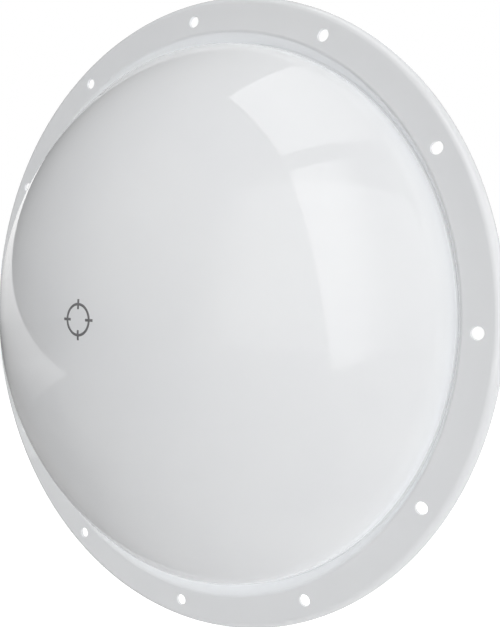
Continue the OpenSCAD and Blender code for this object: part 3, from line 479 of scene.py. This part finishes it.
# The sight mark at the apex of the dome: a ring and four ticks, printed on the crown.
MARK_R = 12.5 * MM
MARK_W = 2.4 * MM
MARK_T = 0.03 * MM
TICK_LENGTH = 9 * MM


def crown_at(r):
    """Height of the dome's outer face at that distance from the boresight."""
    return CROWN_Z + math.sqrt(CROWN_R ** 2 - r ** 2)


def printed_patch(outline):
    """A thin raised patch over rows of (x, y) points, laid on the crown."""
    bm = bmesh.new()
    levels = []
    for lift in (-MARK_T, MARK_T):
        levels.append([[bm.verts.new((x, y, crown_at(math.hypot(x, y)) + lift)) for x, y in row]
                       for row in outline])
    low, high = levels
    for rows in levels:
        for row, after in zip(rows, rows[1:]):
            for i in range(len(row) - 1):
                bm.faces.new((row[i], row[i + 1], after[i + 1], after[i]))
    rims = [[row[0] for row in rows] for rows in levels], [[row[-1] for row in rows] for rows in levels]
    ends = [low[0], high[0]], [low[-1], high[-1]]
    for under, over in (*rims, *ends):
        for i in range(len(under) - 1):
            bm.faces.new((under[i], under[i + 1], over[i + 1], over[i]))
    bmesh.ops.recalc_face_normals(bm, faces=bm.faces)
    return bm


def build_mark():
    outer = MARK_R + MARK_W
    ring = turned([(MARK_R, crown_at(MARK_R) - MARK_T), (outer, crown_at(outer) - MARK_T),
                   (outer, crown_at(outer) + MARK_T), (MARK_R, crown_at(MARK_R) + MARK_T)], 96, closed=True)
    parts = [(ring, FORWARD)]
    for quarter in range(4):
        rows = []
        for step in range(5):
            x = MARK_R + MARK_W / 2 + TICK_LENGTH * (step / 4 - 0.5)
            rows.append([(x, -MARK_W / 2), (x, MARK_W / 2)])
        turn = Matrix.Rotation(quarter * TURN / 4, 4, "Z")
        parts.append((printed_patch(rows), FORWARD @ turn))
    piece = new_piece("sight_mark", combine(parts), "sight_grey", "radome")
    piece.data.shade_smooth()
    return piece


# ---- reflector ----
RIM_FRONT = -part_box("reflector")[0].y
VERTEX_Z = RIM_FRONT - APERTURE_R ** 2 / (4 * FOCAL)
RIM_OUT_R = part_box("reflector")[1].x
BOWL_STEPS = 56


def bowl_at(r):
    """Height of the reflector's front face at that radius, and the angle of its slope."""
    return VERTEX_Z + r * r / (4 * FOCAL), math.atan(r / (2 * FOCAL))


def reflector_outline():
    """(r, forward) from the centre hole along the front face, round the folded rim, and back behind."""
    front, back = [], []
    for i in range(BOWL_STEPS + 1):
        r = FLAT_R + (APERTURE_R - FLAT_R) * i / BOWL_STEPS
        z, slope = bowl_at(r)
        front.append((r, z))
        back.append((r + SPUN * math.sin(slope), z - SPUN * math.cos(slope)))
    flat_z = front[0][1]
    corner_x, corner_z = RIM_OUT_R - FOLD_R, RIM_FRONT - FOLD_R
    fold_end = RIM_FRONT - RIM_FOLD
    inner = FOLD_R - SPUN
    # The back face stops short of the rim's fold, and leaves out its innermost point, which lies on the flat.
    return (
        [(CENTRE_HOLE_R, flat_z)] + front
        + arc(corner_x, corner_z, FOLD_R, 90, 0, 6)
        + arc(RIM_OUT_R - SPUN / 2, fold_end + SPUN / 2, SPUN / 2, 0, -180, 6)
        + arc(corner_x, corner_z, inner, 0, 90, 4)
        + [point for point in reversed(back) if point[0] < APERTURE_R and point[1] < RIM_FRONT - SPUN][:-1]
        + [(CENTRE_HOLE_R, flat_z - SPUN)]
    )


def round_cutter(radius, low, high, segments=32):
    return turned([(0, low), (radius, low), (radius, high), (0, high)], segments)


def build_reflector():
    dish = turned(reflector_outline(), 180, closed=True)
    flat_z = bowl_at(FLAT_R)[0]
    rim_holes = ring_of(lambda: round_cutter(RIM_HOLE_R, RIM_FRONT - 2 * SPUN, RIM_FRONT + SPUN),
                        HOLES, BOSS_CIRCLE_R, BOSS_PHASE)
    hub_holes = ring_of(lambda: round_cutter(HUB_HOLE_R, flat_z - 2 * SPUN, flat_z + SPUN),
                        HUB_BOLTS, HUB_CIRCLE_R)
    dish = carve(dish, combine([(rim_holes, Matrix()), (hub_holes, Matrix())]))
    smooth(new_piece("reflector_dish", combine([(dish, FORWARD)]), "dish_paint", "dish", "reflector"), 35)


# ---- fasteners: polar solids about +Z, with the seat under the head or at the nut's foot at z = 0 ----
ACROSS = {6: 10, 8: 13, 10: 16, 12: 18}
HEX_HEAD = {6: 4, 8: 5.3, 10: 6.4, 12: 7.5}
NUT = {8: 6.5, 10: 8, 12: 10}
PITCH = {3: 0.5, 4: 0.7, 5: 0.8, 6: 1.0, 8: 1.25, 10: 1.5, 12: 1.75}
PAN_HEAD = {3: (5.6, 2.4), 4: (7.5, 3), 5: (9, 3.2)}
THREAD_DEPTH = 0.6  # of the pitch
LONGEST_THREAD = 60 * MM
CHAMFER_RUN = math.tan(math.radians(30))


def hexagon(across, corner=0.985):
    """Radius of a hexagon as a function of the angle, with its corners a little blunt."""
    def radius(a):
        flat = across / 2 / math.cos((a + TURN / 12) % (TURN / 6) - TURN / 12)
        return min(flat, corner * across / 2 / math.cos(TURN / 12))
    return radius


def chamfered(across, height, up=True):
    """Rings of a hexagon's end, where the chamfer's cone meets its flats."""
    hexed, crown = hexagon(across), 0.475 * across
    sign = -1 if up else 1
    meet = (hexed, lambda a: height + sign * max(hexed(a) - crown, 0.0) * CHAMFER_RUN)
    return [meet, (crown, height)] if up else [(crown, height), meet]


def thread(d, low, high):
    """Rings of an annular thread, upwards from a chamfered tip."""
    pitch = PITCH[round(d / MM)] * MM
    root = d / 2 - THREAD_DEPTH * pitch
    rings = [(root, low)]
    turns = int((high - low) / pitch)
    for i in range(turns):
        rings += [(d / 2, low + (i + 0.5) * pitch), (root, low + (i + 1) * pitch)]
    return rings


def shank(d, length):
    """Rings from the tip up to the seat: thread as far as a standard bolt has it, then plain."""
    threaded = min(length, LONGEST_THREAD)
    rings = [(0, -length)] + thread(d, -length, threaded - length)
    if threaded < length:
        rings += [(d / 2, rings[-1][1]), (d / 2, 0)]
    return rings


def hex_bolt(d, length):
    """A hexagon head on its washer face, dished on top."""
    across, height = ACROSS[round(d / MM)] * MM, HEX_HEAD[round(d / MM)] * MM
    face = 0.3 * MM
    rings = shank(d, length) + [(0.46 * across, 0), (0.46 * across, face), (hexagon(across), face)]
    rings += chamfered(across, height) + [(0.4 * across, height), (0.37 * across, height - 0.25 * MM),
                                          (0, height - 0.25 * MM)]
    return turned(rings, 48)


def pan_screw(d, length):
    """A rounded head with a hexagon socket."""
    wide, height = (size * MM for size in PAN_HEAD[round(d / MM)])
    key = hexagon(0.62 * d, 1)
    depth = 0.55 * height
    rings = shank(d, length) + [(wide / 2 - 0.1 * MM, 0), (wide / 2, 0.1 * MM), (wide / 2, 0.25 * height)]
    rings += [(wide / 2 * math.cos(a), height * (0.25 + 0.75 * math.sin(a)))
              for a in (math.radians(18 * i) for i in range(1, 4))]
    rings += [(0.4 * d + 0.12 * MM, height), (key, height - 0.12 * MM), (key, height - depth),
              (0, height - depth - 0.1 * d)]
    return turned(rings, 36)


def hex_nut(d):
    """Chamfered at both ends, with a plain bore a little over the thread."""
    across, height = ACROSS[round(d / MM)] * MM, NUT[round(d / MM)] * MM
    bore = d / 2 + 0.05 * MM
    rim = 0.3 * MM
    rings = chamfered(across, 0, up=False) + chamfered(across, height)
    rings += [(bore + rim, height), (bore, height - rim), (bore, rim), (bore + rim, 0)]
    return turned(rings, 48, closed=True)


def washer(bore, outer, thick):
    edge = min(0.15 * MM, thick / 4)
    return turned([(bore / 2, 0), (outer / 2 - edge, 0), (outer / 2, edge), (outer / 2, thick - edge),
                   (outer / 2 - edge, thick), (bore / 2, thick)], 48, closed=True)


def islands(node):
    """The corner points of each separate solid of a CAD node."""
    bm = bmesh.new()
    bm.from_mesh(nodes[node].data)
    bmesh.ops.remove_doubles(bm, verts=bm.verts, dist=0.01 * MM)
    unseen, found = set(bm.verts), []
    while unseen:
        stack, points = [unseen.pop()], []
        while stack:
            vert = stack.pop()
            points.append(vert.co.copy())
            for edge in vert.link_edges:
                other = edge.other_vert(vert)
                if other in unseen:
                    unseen.remove(other)
                    stack.append(other)
        found.append(points)
    bm.free()
    found.sort(key=lambda points: [round(c, 5) for c in sum(points, Vector()) / len(points)])
    return found


def seat_of(points, axis):
    """Where a fastener lies: its middle, the way its wider end points, its length and its width."""
    way = {"X": Vector((1, 0, 0)), "Y": Vector((0, 1, 0)), "Z": Vector((0, 0, 1))}[axis]
    lo = Vector([min(p[i] for p in points) for i in range(3)])
    hi = Vector([max(p[i] for p in points) for i in range(3)])
    middle = (lo + hi) / 2
    off = [(p - middle) - way * (p - middle).dot(way) for p in points]
    widest = max(v.length for v in off)
    head = [(p - middle).dot(way) for p, v in zip(points, off) if v.length > 0.9 * widest]
    side = 1 if sum(head) / len(head) >= 0 else -1
    length = (hi - lo).dot(way)
    return middle, way * side, length, 2 * widest


def place(origin, way):
    """Takes a solid's origin there, and its +Z to that way."""
    return Matrix.Translation(origin) @ way.to_track_quat("Z", "X").to_matrix().to_4x4()


def add_hardware(node, parts):
    """One piece in place of a CAD node of fasteners, with the node's own material and body."""
    smooth(new_piece(node + "_fine", combine(parts), slot_of[node], body_of[node], node), 25)


def build_fasteners():
    """Each CAD group of plain fasteners becomes one piece, with chamfers, threads and sockets.

    The tables give each group's axis and size in millimetres, which for a washer is its bore.
    """
    pans = {"radome_screws": ("Y", 4), "feed_screws": ("Y", 4), "omt_screws": ("Y", 4),
            "subreflector_screw": ("Y", 4), "radio_mount_screws": ("Y", 5), "radio_cover_screws": ("Y", 3),
            "ground_screw": ("Y", 4)}
    bolts = {"hub_bolts": ("Y", 6), "tilt_bracket_bolts": ("Y", 8), "tilt_pivot_bolts": ("X", 10),
             "tilt_lock_bolts": ("X", 8), "swivel_lock_bolts": ("Z", 8), "swivel_bolt": ("Z", 12)}
    nuts = {"tilt_pivot_nuts": ("X", 10), "tilt_lock_nuts": ("X", 8), "swivel_lock_nuts": ("Z", 8),
            "swivel_nut": ("Z", 12)}
    rings = {"radome_washers": ("Y", 4.4), "tilt_bracket_washers": ("Y", 8.4),
             "tilt_pivot_washers": ("X", 10.4), "tilt_lock_washers": ("X", 8.4),
             "swivel_lock_washers": ("Z", 8.4), "swivel_washers": ("Z", 12.5)}
    for node, (axis, size) in {**pans, **bolts, **nuts, **rings}.items():
        parts = []
        for points in islands(node):
            middle, way, length, wide = seat_of(points, axis)
            foot = middle - way * length / 2
            if node in nuts:
                solid = hex_nut(size * MM)
            elif node in rings:
                solid = washer(size * MM, wide, length)
            else:
                make, head = (pan_screw, PAN_HEAD[size][1]) if node in pans else (hex_bolt, HEX_HEAD[size])
                length -= head * MM
                foot += way * length
                solid = make(size * MM, length)
            parts.append((solid, place(foot, way)))
        add_hardware(node, parts)


CARRIAGE_R = 9 * MM
CARRIAGE_H = 4.5 * MM
CARRIAGE_EDGE = 0.8 * MM
CLAMP_SIZE = 8
CLAMP_WASHER_BORE = 8.4 * MM
CLAMP_WASHER_T = 1.6 * MM


def carriage_bolt(d, length):
    """A domed head, with the thread toward the far end."""
    dome = [(CARRIAGE_R, 0), (CARRIAGE_R, CARRIAGE_EDGE)]
    dome += [(CARRIAGE_R * math.cos(a), CARRIAGE_EDGE + (CARRIAGE_H - CARRIAGE_EDGE) * math.sin(a))
             for a in (math.radians(10 * i) for i in range(1, 9))]
    return turned(shank(d, length) + dome + [(0, CARRIAGE_H)], 40)


def build_clamp_hardware():
    """The pole clamp's carriage bolts, and the nut and washer behind each end of each jaw."""
    parts = []
    for points in islands("clamp_bolts"):
        middle, way, length, _ = seat_of(points, "Y")
        length -= CARRIAGE_H
        seat = middle + way * (length - CARRIAGE_H) / 2
        parts.append((carriage_bolt(CLAMP_SIZE * MM, length), place(seat, way)))
    add_hardware("clamp_bolts", parts)
    back = Vector((0, 1, 0))
    for node in ("jaw_nuts_upper", "jaw_nuts_lower"):
        lo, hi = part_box(node)
        wide = hi.z - lo.z
        parts = []
        for x in (lo.x + wide / 2, hi.x - wide / 2):
            foot = Vector((x, lo.y, (lo.z + hi.z) / 2))
            parts.append((washer(CLAMP_WASHER_BORE, wide, CLAMP_WASHER_T), place(foot, back)))
            parts.append((hex_nut(CLAMP_SIZE * MM), place(foot + back * CLAMP_WASHER_T, back)))
        add_hardware(node, parts)


# ---- jumper cables, plugs and gland ----
JUMPER_D = 5 * MM
JUMPER_BOW = 7 * MM
JUMPER_STEPS = 48
PLUG_NUT_L = 8 * MM
PLUG_ACROSS = 9 * MM
BOOT_R = 3.5 * MM
BOOT_L = 9 * MM
BOOT_RIBS = 5
BOOT_RIB_DEPTH = 0.45 * MM


def tube(path, radius, sides=20):
    """A closed tube along a path of points."""
    bm = bmesh.new()
    rings = []
    for i, point in enumerate(path):
        way = (path[min(i + 1, len(path) - 1)] - path[max(i - 1, 0)]).normalized()
        out = way.cross(Vector((0, 1, 0))).normalized()
        side = way.cross(out)
        rings.append([bm.verts.new(point + radius * (math.cos(a) * out + math.sin(a) * side))
                      for a in (TURN * k / sides for k in range(sides))])
    for ring, after in zip(rings, rings[1:]):
        for k in range(sides):
            bm.faces.new((ring[k], ring[(k + 1) % sides], after[(k + 1) % sides], after[k]))
    bm.faces.new(rings[0])
    bm.faces.new(rings[-1])
    bmesh.ops.recalc_face_normals(bm, faces=bm.faces)
    return bm


def jack_places():
    """x of the right-hand jacks, and y of the transducer's and the radio's."""
    lo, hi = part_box("omt_jacks")
    base = hi.y - lo.y
    radio_lo, radio_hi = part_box("radio_rf_jacks")
    return hi.x - base / 2, (lo.y + hi.y) / 2, (radio_lo.y + radio_hi.y) / 2


def build_jumpers():
    """Two short leads from the transducer down to the radio, in a smooth S with a slight outward bow."""
    lo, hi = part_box("jumper_cables")
    x, top_y, bottom_y = jack_places()
    parts = []
    for side in (-1, 1):
        path = []
        for i in range(JUMPER_STEPS + 1):
            t = i / JUMPER_STEPS
            bow = JUMPER_BOW * math.sin(math.pi * t) ** 2
            path.append(Vector((side * (x + bow), top_y + (bottom_y - top_y) * t * t * (3 - 2 * t),
                                hi.z + (lo.z - hi.z) * t)))
        parts.append((tube(path, JUMPER_D / 2), Matrix()))
    smooth(new_piece("jumper_leads", combine(parts), "cable_black", "dish", "jumper_cables"), 60)


def jumper_plug():
    """A coupling nut with a collar, and a ribbed boot above it."""
    nut = hexagon(PLUG_ACROSS)
    rings = [(3.6 * MM, 0), (4.2 * MM, 0), (nut, 0.4 * MM), (nut, 5 * MM), (4.3 * MM, 5.4 * MM)]
    rings += [(4.1 * MM, 5.9 * MM), (4.1 * MM, PLUG_NUT_L), (BOOT_R, PLUG_NUT_L)]
    for i in range(BOOT_RIBS):
        z = PLUG_NUT_L + BOOT_L * i / BOOT_RIBS
        rings += [(BOOT_R - BOOT_RIB_DEPTH, z + 0.3 * MM), (BOOT_R - BOOT_RIB_DEPTH, z + 0.9 * MM),
                  (BOOT_R, z + 1.1 * MM), (BOOT_R, z + BOOT_L / BOOT_RIBS)]
    top = PLUG_NUT_L + BOOT_L
    rings += [(JUMPER_D / 2, top), (JUMPER_D / 2, top - 1 * MM), (3.6 * MM, 6 * MM)]
    return turned(rings, 48, closed=True)


def build_plugs():
    lo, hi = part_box("jumper_plugs")
    x, top_y, bottom_y = jack_places()
    parts = []
    for side in (-1, 1):
        parts.append((jumper_plug(), place(Vector((side * x, top_y, hi.z)), Vector((0, 0, -1)))))
        parts.append((jumper_plug(), place(Vector((side * x, bottom_y, lo.z)), Vector((0, 0, 1)))))
    add_hardware("jumper_plugs", parts)


GLAND_BORE_R = 3.25 * MM
GLAND_NECK_R = 6.9 * MM
GLAND_NUT = 16 * MM  # across its flats
GLAND_RIBS = 18
GLAND_RIB = 0.025  # of the radius


def ribbed(radius):
    """A radius that runs in and out round the axis, for the grip of the gland's dome nut."""
    return lambda a: radius * (1 + GLAND_RIB * math.cos(GLAND_RIBS * a))


def build_gland():
    """From below: ribbed dome nut, collar, neck through the cover's floor, and the nut inside."""
    lo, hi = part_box("cable_gland")
    collar_r = (hi.x - lo.x) / 2
    nut = hexagon(GLAND_NUT)
    profile = [(4.6, 0), (5.8, 0.9), (ribbed(6.6 * MM), 2), (ribbed(7.4 * MM), 5.8), (7.2, 6)]
    rings = [(GLAND_BORE_R, 0)]
    rings += [(r if callable(r) else r * MM, z * MM) for r, z in profile]
    rings += [(collar_r, 6 * MM), (collar_r, 8 * MM), (GLAND_NECK_R, 8 * MM), (GLAND_NECK_R, 10.2 * MM),
              (nut, 10.2 * MM), (nut, 11.7 * MM), (GLAND_BORE_R + 0.6 * MM, 11.7 * MM),
              (GLAND_BORE_R, 11.1 * MM)]
    solid = turned(rings, 6 * GLAND_RIBS, closed=True)
    spot = Vector(((lo.x + hi.x) / 2, (lo.y + hi.y) / 2, lo.z))
    smooth(new_piece("cable_gland_fine", combine([(solid, Matrix.Translation(spot))]), "dark_plastic",
                     body_of["cable_gland"], "cable_gland"), 30)


# ---- carried-over CAD nodes ----
def soften(node, width):
    """Modifiers that round the sharp edges of a CAD node, whose own mesh stays as it is."""
    piece = nodes[node]
    weld = piece.modifiers.new("weld", "WELD")
    weld.merge_threshold = 0.01 * MM
    flat = piece.modifiers.new("flat", "DECIMATE")
    flat.decimate_type = "DISSOLVE"
    flat.angle_limit = math.radians(0.5)
    bevel = piece.modifiers.new("edges", "BEVEL")
    bevel.width = width
    bevel.segments = 2
    bevel.limit_method = "ANGLE"
    bevel.angle_limit = math.radians(35)
    bevel.harden_normals = True
    bevel.use_clamp_overlap = True


def soften_all():
    """Bevel widths in millimetres, by what each part is made of and how big it is."""
    widths = {"tilt_bracket": 0.5, "radio_bracket": 0.35, "azimuth_yoke": 0.5, "pole_bracket": 0.5,
              "clamp_jaw_upper": 0.6, "clamp_jaw_lower": 0.6, "omt_body": 0.4, "hub_plate": 0.5,
              "radio_housing": 0.5, "radio_rear_cover": 0.5, "port_cover": 0.5, "port_bay": 0.4,
              "feed_tube": 0.3, "feed_choke_ring": 0.3, "subreflector": 0.3, "front_clamp_ring": 0.3,
              "swivel_spacer": 0.3, "ground_lug": 0.2, "omt_jacks": 0.2, "radio_rf_jacks": 0.2,
              "reset_button": 0.3, "status_leds": 0.3, "radio_board": 0.2, "ethernet_jack": 0.3}
    for node, width in widths.items():
        soften(node, width * MM)


# ---- camera, light and floor ----
CAMERA_AT = (0.48093, -0.58073, 0.02697)
CAMERA_HEADING = 34.81  # degrees from +Y towards -X
CAMERA_DIP = 3.37
CAMERA_ROLL = 1.565
LENS = 40.875
SHIFT = (0.0049, 0.0352)
LAMP_DISTANCE = 3.0
LAMP_SIZE = 1.4
FILL_SPREAD = 40  # degrees


def build_camera():
    """The photograph's own camera, as fitted to the outlines of the radome and its holes."""
    camera = linked("camera", bpy.data.cameras.new("camera"))
    camera.data.lens = LENS
    camera.data.shift_x, camera.data.shift_y = SHIFT
    camera.data.clip_start = 0.01
    turns = ((CAMERA_HEADING, "Z"), (90 - CAMERA_DIP, "X"), (CAMERA_ROLL, "Z"))
    aim = Matrix.Identity(4)
    for degrees, axis in turns:
        aim = aim @ Matrix.Rotation(math.radians(degrees), 4, axis)
    camera.matrix_world = Matrix.Translation(CAMERA_AT) @ aim
    bpy.context.scene.camera = camera


def direction(azimuth, elevation):
    """The unit vector towards a place in the studio: azimuth from -Y towards +X, both in degrees."""
    a, e = math.radians(azimuth), math.radians(elevation)
    return Vector((math.sin(a) * math.cos(e), -math.cos(a) * math.cos(e), math.sin(e)))


def soft_light(name, azimuth, elevation, power):
    """A large soft lamp that faces the object. The gloss gets its reflections from the cards instead."""
    lamp = linked(name, bpy.data.lights.new(name, "AREA"))
    lamp.data.shape = "DISK"
    lamp.data.size = LAMP_SIZE
    lamp.data.energy = power
    lamp.location = direction(azimuth, elevation) * LAMP_DISTANCE
    lamp.rotation_euler = direction(azimuth, elevation).to_track_quat("Z", "Y").to_euler()
    lamp.visible_camera = False
    lamp.visible_glossy = False
    return lamp


def fill(name, azimuth, elevation, strength, lit):
    """A very soft lamp far off, which casts no shadows and lights only one collection."""
    lamp = linked(name, bpy.data.lights.new(name, "SUN"))
    lamp.data.angle = math.radians(FILL_SPREAD)
    lamp.data.energy = strength
    lamp.data.use_shadow = False
    lamp.rotation_euler = direction(azimuth, elevation).to_track_quat("Z", "Y").to_euler()
    lamp.visible_glossy = False
    lamp.light_linking.receiver_collection = lit


def group(name, pieces):
    """A collection that lamps are linked to; its pieces stay in the scene's own collection too."""
    gathered = bpy.data.collections.new(name)
    for piece in pieces:
        gathered.objects.link(piece)
    return gathered


def card(name, corners, strength, fade_from=None, fade_to=None):
    """A glowing card that only gloss sees, clear to what lies beyond.

    Its glow is even, or fades from one point to another.
    """
    mesh = bpy.data.meshes.new(name)
    mesh.from_pydata(corners, [], [range(len(corners))])
    piece = linked(name, mesh)
    material = bpy.data.materials.new(name)
    material.use_nodes = True
    tree = material.node_tree
    tree.nodes.clear()
    glow = tree.nodes.new("ShaderNodeEmission")
    glow.inputs["Strength"].default_value = strength
    clear = tree.nodes.new("ShaderNodeBsdfTransparent")
    both = tree.nodes.new("ShaderNodeAddShader")
    tree.links.new(glow.outputs[0], both.inputs[0])
    tree.links.new(clear.outputs[0], both.inputs[1])
    output = tree.nodes.new("ShaderNodeOutputMaterial")
    tree.links.new(both.outputs[0], output.inputs[0])
    if fade_from:
        start, way = Vector(fade_from), Vector(fade_to) - Vector(fade_from)
        coords = tree.nodes.new("ShaderNodeTexCoord")
        dot = tree.nodes.new("ShaderNodeVectorMath")
        dot.operation = "DOT_PRODUCT"
        dot.inputs[1].default_value = way / way.length_squared
        tree.links.new(coords.outputs["Object"], dot.inputs[0])
        ramp = tree.nodes.new("ShaderNodeMapRange")
        ramp.interpolation_type = "SMOOTHSTEP"
        ramp.inputs["From Min"].default_value = start.dot(way) / way.length_squared
        ramp.inputs["From Max"].default_value = start.dot(way) / way.length_squared + 1
        ramp.inputs["To Min"].default_value = strength
        ramp.inputs["To Max"].default_value = 0.0
        tree.links.new(dot.outputs["Value"], ramp.inputs["Value"])
        tree.links.new(ramp.outputs[0], glow.inputs["Strength"])
    mesh.materials.append(material)
    piece.visible_camera = piece.visible_diffuse = piece.visible_shadow = False


FLOOR_Z = -0.47
FLOOR_HALF = 8.0
FLOOR_GLOW = 0.8  # added where the camera sees it
AMBIENT = 0.22


def build_world():
    """White to the camera, and an even soft grey to everything else."""
    world = bpy.data.worlds.new("studio")
    bpy.context.scene.world = world
    world.use_nodes = True
    tree = world.node_tree
    tree.nodes.clear()
    path = tree.nodes.new("ShaderNodeLightPath")
    level = tree.nodes.new("ShaderNodeMapRange")
    level.inputs["To Min"].default_value = AMBIENT
    tree.links.new(path.outputs["Is Camera Ray"], level.inputs["Value"])
    light = tree.nodes.new("ShaderNodeBackground")
    light.inputs["Color"].default_value = (1, 1, 1, 1)
    tree.links.new(level.outputs[0], light.inputs["Strength"])
    output = tree.nodes.new("ShaderNodeOutputWorld")
    tree.links.new(light.outputs[0], output.inputs[0])


def build_floor():
    """A plain pale floor, clear from below, so that the underside can be looked at."""
    mesh = bpy.data.meshes.new("floor")
    corners = [(FLOOR_HALF * x, FLOOR_HALF * y, FLOOR_Z) for x, y in ((-1, -1), (1, -1), (1, 1), (-1, 1))]
    mesh.from_pydata(corners, [], [(0, 1, 2, 3)])
    floor = linked("floor", mesh)
    shader = Shader("floor_white", (0.6, 0.6, 0.6), 0.9)
    shader.set("Emission Color", (1, 1, 1, 1))
    seen = shader.add("LightPath").outputs["Is Camera Ray"]
    shader.feed("Emission Strength", shader.math("MULTIPLY", seen, FLOOR_GLOW))
    shader.feed("Alpha", shader.math("SUBTRACT", 1.0, shader.add("NewGeometry").outputs["Backfacing"]))
    mesh.materials.append(shader.material)


# Each name: azimuth and elevation in degrees, and strength or watts.
RADOME_FILLS = {"side_fill": (62, 0, 0.88), "key_fill": (50, 35, 1.15), "low_fill": (82, -35, 0.74),
                "under_fill": (50, -60, 0.66), "top_fill": (-30, 62, 1.05), "rim_fill": (-150, -40, 0.5)}
LAMPS = {"key": (60, 30, 45), "back_left": (-145, 40, 38), "back_right": (140, 25, 20)}
FRONT_AZIMUTH = 40
FRONT_DISTANCE = 2.6
FRONT_LEFT, FRONT_RIGHT, FRONT_HALF = -2.75, 4, 3
FRONT_FADE = (22, 2)  # azimuths between which the front card fades


def upright(x, corners):
    """Corners (y, z) of a card that stands across +X there."""
    return [(x, y, z) for y, z in corners]


def build_studio(radome_pieces):
    """Shadowless fills shape the radome, as a photographer's tent does. The parts behind it get lamps."""
    behind = group("behind", [piece for piece in bpy.context.scene.objects
                              if piece.type == "MESH" and piece not in radome_pieces])
    radome = group("radome_pieces", radome_pieces)
    for name, (azimuth, elevation, strength) in RADOME_FILLS.items():
        fill(name, azimuth, elevation, strength, radome)
    for name, (azimuth, elevation, power) in LAMPS.items():
        lamp = soft_light(name, azimuth, elevation, power)
        if name == "key":
            lamp.light_linking.receiver_collection = behind
    # The window-like reflections on the dome: a wide soft one, a tall one, one overhead, one low at the left.
    middle, right = direction(FRONT_AZIMUTH, 0) * FRONT_DISTANCE, direction(FRONT_AZIMUTH + 90, 0)
    low, high = Vector((0, 0, -FRONT_HALF)), Vector((0, 0, FRONT_HALF))
    left_end, right_end = middle + right * FRONT_LEFT, middle + right * FRONT_RIGHT
    corners = [left_end + low, right_end + low, right_end + high, left_end + high]
    fade = [middle + right * FRONT_DISTANCE * math.tan(math.radians(a - FRONT_AZIMUTH)) for a in FRONT_FADE]
    card("panel_front", corners, 0.75, *fade)
    corners = [(x, -1, z) for x, z in ((0.76, 1.6), (1.61, -1.6), (3.2, -1.6), (3.2, 4.6), (2.44, 3.9))]
    card("panel_right", corners, 1.5, (1.2, -1, 0), (3, -1, 0))
    corners = [(x, y, 1.67) for x, y in ((-0.25, -0.295), (0.575, -0.865), (1.17, 0.13), (0.395, 1.41))]
    card("panel_top", corners, 1.6, (0.25, -0.4, 1.67), (0.72, 0.6, 1.67))
    corners = upright(-1.2, [(0.6, 0.48), (-1.6, -0.92), (-1.6, -1.5), (0.6, -1)])
    card("panel_left", corners, 1.0, (-1.2, -0.4, -0.1), (-1.2, -0.15, -0.55))
    # Two gloss cards behind, so that bare metal has something to mirror.
    card("panel_back", [(-1.8, 2.2, -0.2), (-0.4, 2.4, -0.2), (-0.4, 2.4, 1.8), (-1.8, 2.2, 1.8)], 1.6)
    card("panel_side", upright(2.2, [(0.4, -0.3), (1.6, -0.3), (1.6, 1.4), (0.4, 1.4)]), 1.3)


build_camera()
build_world()
build_floor()
build_materials()
front_pieces = [build_radome(), build_mark()]
build_reflector()
build_fasteners()
build_clamp_hardware()
build_jumpers()
build_plugs()
build_gland()
soften_all()
build_studio(front_pieces)
bpy.context.scene.view_settings.view_transform = "Standard"
